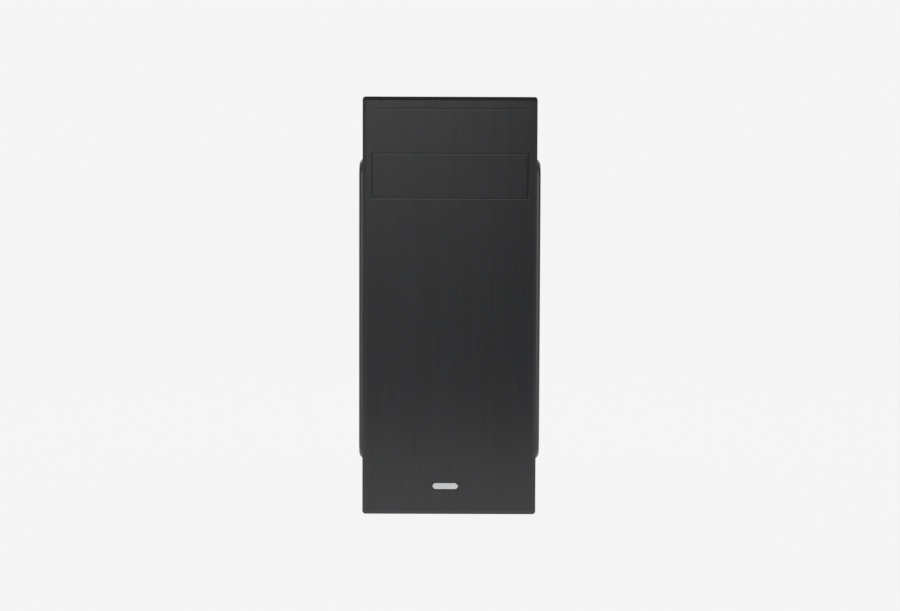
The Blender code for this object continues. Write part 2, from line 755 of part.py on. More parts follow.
def make_fan(name, axis, centre, size, near, far, material="black_plastic"):
    """A square fan. The wheel is open at near, and the hub's arms stand at far."""
    bore = size / 2 - 2.5
    corner = size / 2
    depth = far - near
    bm = bmesh.new()
    outline = rounded_rectangle(
        (centre[0] - corner, centre[0] + corner), (centre[1] - corner, centre[1] + corner), 4.0, 2
    )
    add_prism(bm, axis, outline, near, far)
    frame = piece(f"{name}_frame", bm, material)
    hole = bmesh.new()
    add_cylinder(hole, axis, centre, bore, near - abs(depth), far + abs(depth), segments=32)
    cut(frame, hole, "duct")
    arms = [(centre[0] + u, centre[1] + v) for u, v in hub_and_arms(size * 0.19, bore + 1.2, 4, 2.0)]
    spider = bmesh.new()
    add_prism(spider, axis, arms, far - depth * 0.14, far)
    join(frame, spider, "hub_and_arms")

    start, end = near + depth * 0.05, far - depth * 0.14 - math.copysign(0.6, depth)
    steps, twist = 5, math.radians(38)
    flat = blades(size * 0.19, bore - 1.2, 7, 1.6)
    rings = []
    for k in range(steps + 1):
        turn = twist * k / steps
        w = start + (end - start) * k / steps
        cos, sin = math.cos(turn), math.sin(turn)
        rotated = [(u * cos - v * sin, u * sin + v * cos) for u, v in flat]
        rings.append([along(axis, centre[0] + u, centre[1] + v, w) for u, v in rotated])
    bm = bmesh.new()
    add_rings(bm, rings)
    piece(f"{name}_rotor", bm, material, origin=along(axis, *centre, (start + end) / 2))


def make_fans():
    rear = INNER_REAR_Y
    make_fan("case_fan", "Y", FAN_CENTRE, FAN_SIZE, rear - 25.0, rear)
    make_fan("cpu_fan", "X", (CPU_Y, CPU_Z), CPU_FAN_SIZE, *CPU_FAN_X)
    psu_rear = PSU_Y[1] - SHEET - GAP
    make_fan("psu_fan", "Y", PSU_FAN_CENTRE, PSU_FAN_SIZE, psu_rear - 25.0, psu_rear)


# ---- power supply ----------------------------------------------------------------------------------


def make_power_supply():
    y0, y1 = PSU_Y
    z0, z1 = PSU_LOW, PSU_TOP
    rim = z1 - SHEET - GAP
    section = [
        (y0, rim),
        (y0, z0),
        (y1, z0),
        (y1, rim),
        (y1 - SHEET, rim),
        (y1 - SHEET, z0 + SHEET),
        (y0 + SHEET, z0 + SHEET),
        (y0 + SHEET, rim),
    ]
    inner = (PSU_X[0] + SHEET + GAP, PSU_X[1] - SHEET - GAP)
    base = channel("psu_base", "X", section, *inner, "zinc_steel")
    rear = (y1 - 3, y1 + 2)
    module = ((INLET_X - 14.8, rear[0], z0 + 17.0), (INLET_X + 14.8, rear[1], z0 + 72.0))
    lead = ((-12.0, y0 - 1, z0 + 5.0), (12.0, y0 + 3, z0 + 21.0))
    front_vents = [((x, y0 - 1, z0 + 34.0), (x + 5.0, y0 + 3, z0 + 74.0)) for x in range(-60, 60, 12)]
    cut(base, boxes(module, lead, *front_vents), "openings")
    cut(base, grille(PSU_FAN_CENTRE, PSU_GRILLE_RADIUS, GRILLE_SLOT, GRILLE_PITCH, rear), "grille")

    left, right = PSU_X
    section = [
        (left, z0),
        (left, z1),
        (right, z1),
        (right, z0),
        (right - SHEET, z0),
        (right - SHEET, z1 - SHEET),
        (left + SHEET, z1 - SHEET),
        (left + SHEET, z0),
    ]
    channel("psu_cover", "Y", section, *PSU_Y, "zinc_steel")

    low = z0 + 5.0
    circuit = block("psu_circuit", (-66.0, y0 + 8, low), (64.0, y0 + 108, low + 1.6), "circuit_green")
    parts = [
        ((-52.0, y0 + 20, low + 1), (-48.0, y0 + 96, low + 58)),
        ((28.0, y0 + 20, low + 1), (32.0, y0 + 96, low + 52)),
        ((-24.0, y0 + 40, low + 1), (14.0, y0 + 76, low + 36)),
    ]
    join(circuit, boxes(*parts), "heatsinks_and_transformer")


def make_inlet_and_switch():
    """The mains inlet with its rocker switch under it, in one moulding."""
    outer = PSU_Y[1]
    low, high = PSU_LOW + 17.4, PSU_LOW + 71.6
    body = block(
        "mains_inlet", (INLET_X - 14.4, 146.0, low), (INLET_X + 14.4, outer + 1.2, high), "black_plastic"
    )
    flange = ((INLET_X - 16.5, outer + GAP, low - 1.9), (INLET_X + 16.5, outer + 1.9, high + 1.9))
    join(body, boxes(flange), "flange")
    recess = ((INLET_X - 12.0, 152.0, INLET_Z - 8.5), (INLET_X + 12.0, 175.0, INLET_Z + 8.5))
    rocker_hole = ((INLET_X - 10.0, 154.0, ROCKER_Z - 7.0), (INLET_X + 10.0, 175.0, ROCKER_Z + 7.0))
    cut(body, boxes(recess, rocker_hole), "recesses")
    pins = [
        ((INLET_X + x - 1.0, 151.0, INLET_Z + z - 2.0), (INLET_X + x + 1.0, 167.0, INLET_Z + z + 2.0))
        for x, z in ((-7.0, -2.0), (0.0, 2.0), (7.0, -2.0))
    ]
    join(body, boxes(*pins), "pins")

    half = 8.6
    outline = [(-half, 7.2), (0.0, 6.0), (half, 7.2), (half * 0.8, -3.0), (-half * 0.8, -3.0)]
    tilt = math.radians(ROCKER_TILT)
    turned = [
        (
            INLET_X + u * math.cos(tilt) - v * math.sin(tilt),
            ROCKER_PIVOT_Y + u * math.sin(tilt) + v * math.cos(tilt),
        )
        for u, v in outline
    ]
    bm = bmesh.new()
    add_prism(bm, "Z", turned, ROCKER_Z - 6.4, ROCKER_Z + 6.4)
    piece("psu_switch_rocker", bm, "black_plastic", origin=(INLET_X, ROCKER_PIVOT_Y, ROCKER_Z))


# ---- motherboard and what it carries ---------------------------------------------------------------


def make_motherboard():
    board = block(
        "motherboard",
        (BOARD_X, BOARD_Y[0], BOARD_Z[0]),
        (BOARD_X + BOARD_THICK, BOARD_Y[1], BOARD_Z[1]),
        "circuit_green",
    )
    drive_ports = ((SEAT_X - 9.0, -36.0, 78.0), (BOARD_X + 0.5, -27.0, 108.0))
    join(board, boxes(drive_ports), "drive_ports")
    socket = block(
        "processor",
        (SEAT_X - 4.0, CPU_Y - 24.0, CPU_Z - 24.0),
        (SEAT_X, CPU_Y + 24.0, CPU_Z + 24.0),
        "nickel",
    )
    lid = ((SEAT_X - 7.8, CPU_Y - 18.0, CPU_Z - 18.0), (SEAT_X - 3.0, CPU_Y + 18.0, CPU_Z + 18.0))
    join(socket, boxes(lid), "lid")

    half, fins = 42.0, 14
    base_x = (SEAT_X - 8.1, SEAT_X - 14.0)
    tip = CPU_FAN_X[1] + GAP
    pitch = (2 * half - 1.6) / (fins - 1)
    outline = [(base_x[0], CPU_Y - half)]
    for k in range(fins):
        y = CPU_Y - half + pitch * k
        outline += [(tip, y), (tip, y + 1.6)]
        if k < fins - 1:
            outline += [(base_x[1], y + 1.6), (base_x[1], y + pitch)]
    outline.append((base_x[0], CPU_Y + half))
    channel("cpu_heatsink", "Z", outline, CPU_Z - half, CPU_Z + half, "aluminium")

    outline = [(SEAT_X, 0.0)]
    for k in range(7):
        y = 5.6 * k
        outline += [(SEAT_X - 9.0, y), (SEAT_X - 9.0, y + 1.8)]
        if k < 6:
            outline += [(SEAT_X - 3.0, y + 1.8), (SEAT_X - 3.0, y + 5.6)]
    outline.append((SEAT_X, 5.6 * 6 + 1.8))
    outline = [(x, y - 12.0) for x, y in outline]
    channel("chipset_heatsink", "Z", outline, 92.0, 127.0, "aluminium")

    slot = block("card_slot", (SEAT_X - 11.0, 62.0, 122.4), (SEAT_X, 151.0, 129.6), "black_plastic")
    cut(slot, boxes(((SEAT_X - 13.0, 64.0, 125.1), (SEAT_X - 3.0, 149.0, 126.9))), "groove")


def make_memory():
    for k, y in enumerate(DIMM_Y, start=1):
        slot = block(
            f"memory_slot_{k}", (SEAT_X - 8.0, y - 3.3, DIMM_Z[0]), (SEAT_X, y + 3.3, DIMM_Z[1]), "slot_blue"
        )
        groove = ((SEAT_X - 10.0, y - 1.0, DIMM_Z[0] + 3.0), (SEAT_X - 2.6, y + 1.0, DIMM_Z[1] - 2.4))
        cut(slot, boxes(groove), "groove")

        arm = [(LATCH_X - 16.0, LATCH_Z + 1.4), (LATCH_X - 16.0, LATCH_Z - 4.0)]
        arm += [(LATCH_X - 13.0, LATCH_Z - 4.0), (LATCH_X - 12.0, LATCH_Z - 1.4)]
        heel = [
            (LATCH_X + 3.0 * math.cos(math.radians(a)), LATCH_Z + 3.0 * math.sin(math.radians(a)))
            for a in range(-150, 151, 50)
        ]
        bm = bmesh.new()
        add_prism(bm, "Y", arm + heel, y - 2.5, y + 2.5)
        piece(f"memory_latch_{k}", bm, "socket_ivory", origin=(LATCH_X, y, LATCH_Z))
    y = DIMM_Y[0]
    module = block(
        "memory_module", (SEAT_X - 34.0, y - 0.65, 155.8), (SEAT_X - 3.0, y + 0.65, 289.0), "circuit_green"
    )
    chips = [
        ((SEAT_X - 26.0, y - 1.7, z), (SEAT_X - 16.0, y + 1.7, z + 11.0)) for z in range(162, 284, 16)
    ]
    join(module, boxes(*chips), "chips")


def usb_openings(x, z):
    """Mouth and slot of a USB port that opens to the rear, its long side along Z."""
    mouth = ((x - 2.35, 169.4, z - 6.0), (x + 2.35, 176.0, z + 6.0))
    slot = ((x - 2.2, 160.0, z - 5.7), (x + 0.2, 169.9, z + 5.7))
    return mouth, slot


def port_block(name, low, high, material, openings):
    """A connector whose openings are cut one after another."""
    port = block(name, low, high, material)
    for k, opening in enumerate(openings, start=1):
        cut(port, boxes(opening), f"opening_{k}")
    return port


PORT_REAR_Y = 170.8
PORT_BLOCKS = {  # depth X and span Z of each connector on the rear edge
    "usb_stack": (49.9, 206.0, 220.5),
    "video_ports": (54.2, 226.0, 274.0),
    "network_stack": (36.6, 180.0, 196.4),
    "audio_stack": (32.0, 155.0, 167.5),
}


def make_rear_ports():
    x, low, high = PORT_BLOCKS["usb_stack"]
    z = (low + high) / 2
    openings = [*usb_openings(SEAT_X - 4.4, z), *usb_openings(SEAT_X - 12.2, z)]
    port_block("usb_stack", (x, 152.0, low), (SEAT_X, PORT_REAR_Y, high), "nickel", openings)

    x, low, high = PORT_BLOCKS["network_stack"]
    z = (low + high) / 2
    jack = ((x + 1.6, 157.0, z - 5.9), (x + 10.4, 176.0, z + 5.9))
    openings = [*usb_openings(SEAT_X - 4.4, z), *usb_openings(SEAT_X - 12.2, z), jack]
    port_block("network_stack", (x, 150.0, low), (SEAT_X, PORT_REAR_Y, high), "nickel", openings)

    x, low, high = PORT_BLOCKS["video_ports"]
    hdmi = ((SEAT_X - 8.2, 160.0, low + 1.5), (SEAT_X - 4.2, 176.0, low + 15.5))
    video = port_block("video_ports", (x, 156.0, low), (SEAT_X, PORT_REAR_Y - 0.6, high), "slot_blue", [hdmi])
    middle = (x + SEAT_X) / 2
    shell = bmesh.new()
    d_shape = [(middle - 4.0, high - 25.5), (middle + 4.0, high - 23.8)]
    d_shape += [(middle + 4.0, high - 8.2), (middle - 4.0, high - 6.5)]
    add_prism(shell, "Y", d_shape, 168.0, 175.5)
    join(video, shell, "d_shell")

    x, low, high = PORT_BLOCKS["audio_stack"]
    audio = block("audio_stack", (x, 156.0, low), (SEAT_X, PORT_REAR_Y, high), "black_plastic")
    bores = bmesh.new()
    for k in range(3):
        add_cylinder(
            bores, "Y", (x + 6.0 + 11.2 * k, (low + high) / 2), 1.8, 160.0, 176.0, segments=12
        )
    cut(audio, bores, "bores")

    shield = block(
        "io_shield", (24.2, CHASSIS_REAR_Y - SHEET, 143.3), (68.2, CHASSIS_REAR_Y, 301.5), "nickel"
    )
    holes = [
        ((x - 0.4, 160.0, low - 0.4), (SEAT_X + 0.4, 180.0, high + 0.4))
        for x, low, high in PORT_BLOCKS.values()
    ]
    cut(shield, boxes(*holes), "port_holes")


# ---- hard drive and cables ---------------------------------------------------------------------------


def make_hard_drive():
    half, length, height = HDD_SIZE[0] / 2, HDD_SIZE[1], HDD_SIZE[2]
    x = (HDD_CENTRE_X - half, HDD_CENTRE_X + half)
    y = (HDD_FRONT_Y, HDD_FRONT_Y + length)
    drive = block("hard_drive", (x[0], y[0], HDD_LOW), (x[1], y[1], HDD_LOW + height - 2.5), "aluminium")
    lid = bmesh.new()
    outline = rounded_rectangle((x[0] + 2.0, x[1] - 2.0), (y[0] + 2.0, y[1] - 16.0), 6.0, 2)
    add_prism(lid, "Z", outline, HDD_LOW + 15.0, HDD_LOW + height)
    join(drive, lid, "lid")
    plugs = ((x[0] + 8.0, y[1] - 5.0, HDD_LOW - 1), (x[0] + 50.0, y[1] + 1, HDD_LOW + 6.0))
    cut(drive, boxes(plugs), "connector_recess")


def make_cable(name, route, diameter, material, points):
    """A round cable on one smooth curve through its route, sampled as a poly line."""
    samples = []
    last = len(route) - 1
    for k in range(points):
        place = last * k / (points - 1)
        i = min(int(place), last - 1)
        t = place - i
        p0, p1, p2, p3 = (Vector(route[min(max(j, 0), last)]) for j in (i - 1, i, i + 1, i + 2))
        samples.append(
            0.5
            * (
                2 * p1
                + (p2 - p0) * t
                + (2 * p0 - 5 * p1 + 4 * p2 - p3) * t * t
                + (3 * p1 - p0 - 3 * p2 + p3) * t**3
            )
        )
    curve = bpy.data.curves.new(name, "CURVE")
    curve.dimensions = "3D"
    curve.bevel_depth = diameter / 2 * MM
    curve.bevel_resolution = 2
    curve.use_fill_caps = True
    spline = curve.splines.new("POLY")
    spline.points.add(len(samples) - 1)
    for point, sample in zip(spline.points, samples):
        point.co = (*(sample * MM), 1.0)
    cable = bpy.data.objects.new(name, curve)
    curve.materials.append(finish(material))
    bpy.context.scene.collection.objects.link(cable)


def make_cables():
    plug = block("main_power_plug", (44.0, 10.0, 236.0), (SEAT_X, 20.0, 288.0), "socket_ivory")
    bevel(plug, 0.8)
    main_route = [
        (0.0, PSU_Y[0] + 3.0, PSU_LOW + 13.0),
        (1.0, 22.0, PSU_LOW + 9.0),
        (6.0, 16.0, PSU_LOW - 6.0),
        (16.0, 14.6, 286.0),
        (26.0, 14.8, 267.0),
        (34.0, 15.0, 262.0),
        (43.7, 15.0, 262.0),
    ]
    make_cable("main_power_cable", main_route, 9.0, "cable_black", 30)
    sata_route = [
        (-30.0, 9.4, 240.0),
        (-28.0, 22.0, 236.0),
        (-12.0, 26.0, 215.0),
        (18.0, 10.0, 180.0),
        (38.0, -18.0, 135.0),
        (44.0, -29.0, 103.0),
        (51.0, -31.5, 93.0),
        (57.0, -31.5, 93.0),
    ]
    make_cable("sata_cable", sata_route, 4.0, "cable_red", 44)
    lead_route = [
        (56.0, -160.0, IO_BOARD_Z[0] - 2.0),
        (66.0, -161.0, IO_BOARD_Z[0] - 2.4),
        (75.5, -164.5, IO_BOARD_Z[0] - 8.0),
        (78.9, -167.2, IO_BOARD_Z[0] - 21.0),
        (78.9, -167.4, 340.0),
        (78.9, -167.0, 312.0),
        (78.9, -165.5, 298.0),
        (75.0, -158.0, 284.0),
        (68.5, -148.0, 273.0),
        (67.2, -138.0, 268.0),
        (67.0, -112.0, 240.0),
        (66.5, -78.0, 150.0),
        (62.0, -52.0, 84.0),
        (60.0, -42.0, 70.0),
    ]
    make_cable("front_panel_cable", lead_route, 3.2, "cable_black", 70)


make_feet()
make_base_and_roof()
make_front_plate()
make_rear_panel()
make_slot_cover_plate()
make_tray()
make_drive_brackets()
make_side_panels()
make_thumbscrews()
make_bezel()
make_bay_cover()
make_badge()
make_front_controls()
make_fans()
make_power_supply()
make_inlet_and_switch()
make_motherboard()
make_memory()
make_rear_ports()
make_hard_drive()
make_cables()
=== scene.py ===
"""The looks of a desktop computer tower: fine meshes, materials, a plain pale floor and soft light.

Pieces are drawn in millimetres; the floor, lights and camera are in metres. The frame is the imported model's:
+Z up, the front facing -Y, the motherboard on the +X wall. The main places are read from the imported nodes, so
every fine piece sits where its plain one is.
"""

import json
import math

import bmesh
import bpy
from mathutils import Matrix, Vector


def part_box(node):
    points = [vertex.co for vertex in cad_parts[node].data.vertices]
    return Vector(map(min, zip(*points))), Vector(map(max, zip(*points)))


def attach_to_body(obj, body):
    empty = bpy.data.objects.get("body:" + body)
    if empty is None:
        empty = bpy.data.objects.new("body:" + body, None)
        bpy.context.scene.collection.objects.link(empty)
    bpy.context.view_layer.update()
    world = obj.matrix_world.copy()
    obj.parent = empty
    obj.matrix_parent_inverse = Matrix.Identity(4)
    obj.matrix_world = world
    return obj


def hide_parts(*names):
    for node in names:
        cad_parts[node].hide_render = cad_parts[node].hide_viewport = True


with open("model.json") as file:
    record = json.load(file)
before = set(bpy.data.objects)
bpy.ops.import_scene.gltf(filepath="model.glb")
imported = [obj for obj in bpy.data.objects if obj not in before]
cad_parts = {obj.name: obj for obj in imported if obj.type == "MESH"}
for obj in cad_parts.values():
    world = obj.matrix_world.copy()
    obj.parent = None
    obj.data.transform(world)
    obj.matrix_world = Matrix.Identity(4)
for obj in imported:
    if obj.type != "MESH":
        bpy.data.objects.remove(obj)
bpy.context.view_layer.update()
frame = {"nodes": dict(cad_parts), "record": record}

MM = 0.001
NODES = frame["nodes"]
BODY_OF = {node: body for body, group in frame["record"]["behaviour"]["bodies"].items() for node in group}
SLOT_OF = {part["node"]: part["material_slot"] for part in frame["record"]["subparts"]}


def box_of(node):
    """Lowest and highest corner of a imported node, in millimetres."""
    low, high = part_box(node)
    return low / MM, high / MM


def middle_of(node):
    low, high = box_of(node)
    return (low + high) / 2


# ---- mesh tools ----


def along(axis, u, v, w):
    """The point w along the axis, with u and v on the other two axes in X, Y, Z order."""
    return {"X": (w, u, v), "Y": (u, w, v), "Z": (u, v, w)}[axis]


def add_block(bm, one, two, rounding=0.0):
    """A box between two opposite corners, its edges rounded."""
    spans = [sorted(pair) for pair in zip(one, two)]
    v = [bm.verts.new((x, y, z)) for x in spans[0] for y in spans[1] for z in spans[2]]
    loops = ((0, 1, 3, 2), (4, 6, 7, 5), (0, 4, 5, 1), (2, 3, 7, 6), (0, 2, 6, 4), (1, 5, 7, 3))
    faces = [bm.faces.new([v[i] for i in loop]) for loop in loops]
    if rounding:
        edges = list(dict.fromkeys(edge for face in faces for edge in face.edges))
        bmesh.ops.bevel(
            bm, geom=edges, offset=rounding, segments=2, profile=0.5, affect="EDGES", clamp_overlap=True
        )


def blocks(*corners, rounding=0.0):
    """A new mesh of boxes, each between two opposite corners."""
    bm = bmesh.new()
    for one, two in corners:
        add_block(bm, one, two, rounding)
    return bm


def add_loft(bm, rings, caps=True, closed=False):
    """Faces through rings of equal length; closed joins the last ring to the first."""
    made = [[bm.verts.new(point) for point in ring] for ring in rings]
    count = len(made[0])
    pairs = list(zip(made, made[1:])) + ([(made[-1], made[0])] if closed else [])
    for lower, upper in pairs:
        for i in range(count):
            j = (i + 1) % count
            bm.faces.new((lower[i], lower[j], upper[j], upper[i]))
    if caps and not closed:
        bm.faces.new(made[0])
        bm.faces.new(made[-1])
    return made


def circle(centre, radius, segments):
    step = 2 * math.pi / segments
    turns = [k * step for k in range(segments)]
    return [(centre[0] + radius * math.cos(t), centre[1] + radius * math.sin(t)) for t in turns]


def add_turned(bm, axis, centre, profile, segments=32, closed=False):
    """A solid of revolution: profile holds (radius, place along the axis). closed makes it a ring."""
    rings = [[along(axis, u, v, w) for u, v in circle(centre, radius, segments)] for radius, w in profile]
    add_loft(bm, rings, closed=closed)


def rounded_outline(u, v, radius, steps):
    """Points round the rectangle u = (low, high), v = (low, high), corner by corner."""
    points = []
    for cu, cv, start in ((u[1], v[1], 0), (u[0], v[1], 90), (u[0], v[0], 180), (u[1], v[0], 270)):
        middle_u = cu + (radius if cu == u[0] else -radius)
        middle_v = cv + (radius if cv == v[0] else -radius)
        for k in range(steps + 1):
            angle = math.radians(start + 90 * k / steps)
            points.append((middle_u + radius * math.cos(angle), middle_v + radius * math.sin(angle)))
    return points


def add_slab(bm, axis, outline, start, end):
    add_loft(bm, [[along(axis, u, v, w) for u, v in outline] for w in (start, end)])


def mesh_object(name, bm):
    """An object in metres from a mesh in millimetres, its faces turned outwards."""
    bmesh.ops.recalc_face_normals(bm, faces=bm.faces)
    return raw_object(name, bm)


def raw_object(name, bm):
    bm.transform(Matrix.Scale(MM, 4))
    mesh = bpy.data.meshes.new(name)
    bm.to_mesh(mesh)
    bm.free()
    return link(name, mesh)


def link(name, data):
    obj = bpy.data.objects.new(name, data)
    bpy.context.scene.collection.objects.link(obj)
    return obj


def combine(obj, bm, operation="DIFFERENCE"):
    """Cuts a mesh out of a piece, or joins it on with UNION."""
    helper = mesh_object(f"{obj.name}_helper", bm)
    modifier = obj.modifiers.new("boolean", "BOOLEAN")
    modifier.operation = operation
    modifier.solver = "EXACT"
    modifier.object = helper
    settle(obj)
    bpy.data.objects.remove(helper)


def settle(obj):
    """Makes the modified shape the object's own mesh."""
    bpy.context.view_layer.update()
    done = bpy.data.meshes.new_from_object(obj.evaluated_get(bpy.context.evaluated_depsgraph_get()))
    obj.modifiers.clear()
    obj.data = done


def soften(obj, width, angle):
    """Small rounded edges where the faces meet at more than an angle in degrees."""
    modifier = obj.modifiers.new("soft_edges", "BEVEL")
    modifier.width = width * MM
    modifier.segments = 2
    modifier.limit_method = "ANGLE"
    modifier.angle_limit = math.radians(angle)


def smooth(obj, angle=30):
    """Smooth shading that keeps the large faces flat beside their rounded edges."""
    obj.data.shade_smooth()
    obj.data.set_sharp_from_angle(angle=math.radians(angle))
    weighted = obj.modifiers.new("flat_faces", "WEIGHTED_NORMAL")
    weighted.keep_sharp = True


def finish_piece(obj, material, node, replaces=(), angle=30):
    """Paints, smooths and attaches a piece."""
    obj.data.materials.clear()
    obj.data.materials.append(material)
    smooth(obj, angle)
    attach(obj, node, replaces)


def attach(obj, node, replaces):
    """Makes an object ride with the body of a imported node, and replace the nodes that it stands for."""
    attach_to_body(obj, BODY_OF[node])
    if replaces:
        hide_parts(*replaces)


def piece(name, bm, material, node, replaces=(), angle=30):
    finish_piece(mesh_object(name, bm), material, node, replaces, angle)


# ---- material tools ----


class Paint:
    """A Principled material with its nodes within reach."""

    def __init__(self, name, colour, roughness, metallic=0.0, **sockets):
        self.material = bpy.data.materials.new(name)
        self.material.use_nodes = True
        self.tree = self.material.node_tree
        self.shader = self.tree.nodes["Principled BSDF"]
        self.colour = (*colour, 1.0)
        self.set(self.shader, {"Base Color": self.colour, "Roughness": roughness, "Metallic": metallic})
        self.set(self.shader, sockets)
        self.place = self.node("ShaderNodeTexCoord").outputs["Object"]

    def node(self, kind, inputs=None, **settings):
        made = self.tree.nodes.new(kind)
        for key, value in settings.items():
            setattr(made, key, value)
        self.set(made, inputs or {})
        return made

    def set(self, node, inputs):
        for key, value in inputs.items():
            if isinstance(value, bpy.types.NodeSocket):
                self.tree.links.new(value, node.inputs[key])
            else:
                node.inputs[key].default_value = value

    def scaled(self, scale):
        """Object coordinates (metres) times a scale along each axis."""
        return self.node("ShaderNodeMapping", {"Vector": self.place, "Scale": scale}).outputs["Vector"]

    def noise(self, scale, detail=2.0, roughness=0.5, where=None):
        vector = where if where is not None else self.place
        inputs = {"Vector": vector, "Scale": scale, "Detail": detail, "Roughness": roughness}
        return self.node("ShaderNodeTexNoise", inputs).outputs["Fac"]

    def remap(self, value, low, high, new_low, new_high):
        inputs = {"Value": value, "From Min": low, "From Max": high, "To Min": new_low, "To Max": new_high}
        return self.node("ShaderNodeMapRange", inputs).outputs["Result"]

    def blend(self, factor, one, two):
        return self.node("ShaderNodeMix", {0: factor, 6: one, 7: two}, data_type="RGBA").outputs[2]

    def math(self, operation, one, two):
        return self.node("ShaderNodeMath", {0: one, 1: two}, operation=operation).outputs[0]

    def weigh(self, one, one_share, two, two_share):
        return self.math("ADD", self.math("MULTIPLY", one, one_share), self.math("MULTIPLY", two, two_share))

    def shade(self, factor, darkest, lightest):
        """Varies the base colour between two brightnesses of itself."""
        dark = tuple(c * darkest for c in self.colour[:3]) + (1.0,)
        light = tuple(min(1.0, c * lightest) for c in self.colour[:3]) + (1.0,)
        return self.blend(factor, dark, light)

    def bump(self, height, distance, strength=1.0):
        inputs = {"Height": height, "Distance": distance, "Strength": strength}
        return self.node("ShaderNodeBump", inputs).outputs["Normal"]

    def coat(self, colour, roughness, normal):
        """Joins up the shader; returns the material."""
        self.set(self.shader, {"Base Color": colour, "Roughness": roughness, "Normal": normal})
        return self.material


def moulded(name, colour, roughness, grain=2500.0, depth=0.00002):
    """Moulded plastic: a fine spark-eroded grain and slight gloss changes."""
    paint = Paint(name, colour, roughness)
    grain_height = paint.noise(grain, 3.0, 0.6)
    cloud = paint.noise(35.0, 3.0)
    return paint.coat(
        paint.shade(cloud, 0.9, 1.1),
        paint.remap(cloud, 0.3, 0.7, roughness - 0.04, roughness + 0.05),
        paint.bump(grain_height, depth),
    )


def brushed_plastic():
    """The front: upright hairlines that vary fast sideways and slowly along Z."""
    paint = Paint("brushed_bezel_plastic", (0.0084, 0.0093, 0.0114), 0.34, **{"Specular IOR Level": 0.75})
    hairlines = paint.noise(1.0, 2.0, 0.6, paint.scaled((3600.0, 3600.0, 22.0)))
    streaks = paint.noise(1.0, 1.0, 0.5, paint.scaled((700.0, 700.0, 6.0)))
    both = paint.weigh(hairlines, 0.55, streaks, 0.45)
    return paint.coat(
        paint.shade(paint.remap(both, 0.35, 0.65, 0.0, 1.0), 0.6, 1.5),
        paint.remap(both, 0.35, 0.65, 0.32, 0.37),
        paint.bump(hairlines, 0.00003, 0.6),
    )


def panel_paint():
    """Powder-coated sheet: a fine orange peel and a slightly uneven gloss."""
    paint = Paint("semi_gloss_black_paint", (0.014, 0.0142, 0.0142), 0.37)
    peel = paint.noise(1400.0, 2.0, 0.5)
    cloud = paint.noise(18.0, 3.0)
    return paint.coat(
        paint.shade(cloud, 0.9, 1.12),
        paint.remap(cloud, 0.3, 0.7, 0.36, 0.39),
        paint.bump(peel, 0.00003, 0.7),
    )


def galvanised():
    """Zinc-coated sheet: crystals a few millimetres across, each of its own tone, under fine scratches."""
    paint = Paint("galvanised_steel", (0.50, 0.51, 0.52), 0.38, 0.92)
    wobble = paint.node("ShaderNodeTexNoise", {"Vector": paint.place, "Scale": 60.0}).outputs["Color"]
    push = paint.node("ShaderNodeVectorMath", {0: wobble, "Scale": 0.006}, operation="SCALE").outputs[0]
    warped = paint.node("ShaderNodeVectorMath", {0: paint.place, 1: push}, operation="ADD")
    crystals = paint.node("ShaderNodeTexVoronoi", {"Vector": warped.outputs[0], "Scale": 210.0})
    tone = paint.node("ShaderNodeSeparateColor", {"Color": crystals.outputs["Color"]}).outputs[0]
    scratches = paint.noise(1.0, 3.0, 0.7, paint.scaled((900.0, 60.0, 900.0)))
    mixed = paint.weigh(tone, 0.7, scratches, 0.3)
    return paint.coat(
        paint.shade(mixed, 0.84, 1.10),
        paint.remap(mixed, 0.2, 0.8, 0.29, 0.34),
        paint.bump(scratches, 0.00001, 0.5),
    )


def brushed_metal(name, colour, roughness, scale, metallic=1.0):
    """Metal with fine lines; the lines run along the axis whose scale is small."""
    paint = Paint(name, colour, roughness, metallic)
    lines = paint.noise(1.0, 3.0, 0.65, paint.scaled(scale))
    return paint.coat(
        paint.shade(lines, 0.88, 1.08),
        paint.remap(lines, 0.3, 0.7, roughness - 0.06, roughness + 0.08),
        paint.bump(lines, 0.00001, 0.5),
    )


def circuit_board(name, colour):
    """Solder mask over copper: upright and level tracks in blocks, and small round pads."""
    paint = Paint(name, colour, 0.32)
    flat = paint.node("ShaderNodeSeparateXYZ", {"Vector": paint.place})
    y, z = flat.outputs["Y"], flat.outputs["Z"]
    area = paint.node("ShaderNodeTexVoronoi", {"Vector": paint.place, "Scale": 38.0}, distance="MANHATTAN")
    choice = paint.node("ShaderNodeSeparateColor", {"Color": area.outputs["Color"]}).outputs
    upright = paint.math("PINGPONG", y, 0.0007)
    level = paint.math("PINGPONG", z, 0.0007)
    pick = paint.math("GREATER_THAN", choice[0], 0.5)
    lines = paint.weigh(upright, pick, level, paint.math("SUBTRACT", 1.0, pick))
    ridge = paint.remap(lines, 0.00030, 0.00036, 0.0, 1.0)
    shown = paint.math("MULTIPLY", ridge, paint.math("GREATER_THAN", choice[1], 0.30))
    cells = paint.node("ShaderNodeTexVoronoi", {"Vector": paint.place, "Scale": 330.0})
    pads = paint.math("LESS_THAN", cells.outputs["Distance"], 0.16)
    copper = tuple(min(1.0, c * 2.1 + 0.01) for c in colour) + (1.0,)
    tracks = paint.blend(shown, paint.colour, copper)
    return paint.coat(
        paint.blend(pads, tracks, (0.42, 0.40, 0.30, 1.0)),
        paint.remap(shown, 0.0, 1.0, 0.34, 0.26),
        paint.bump(shown, 0.00003, 0.6),
    )


def rubber():
    """Matt rubber with dust on it."""
    paint = Paint("foot_rubber", (0.012, 0.012, 0.012), 0.8)
    dust = paint.noise(300.0, 5.0, 0.6)
    return paint.coat(
        paint.shade(paint.remap(dust, 0.4, 0.8, 0.0, 1.0), 0.9, 1.9),
        paint.remap(dust, 0.3, 0.7, 0.72, 0.86),
        paint.bump(dust, 0.00005, 0.5),
    )


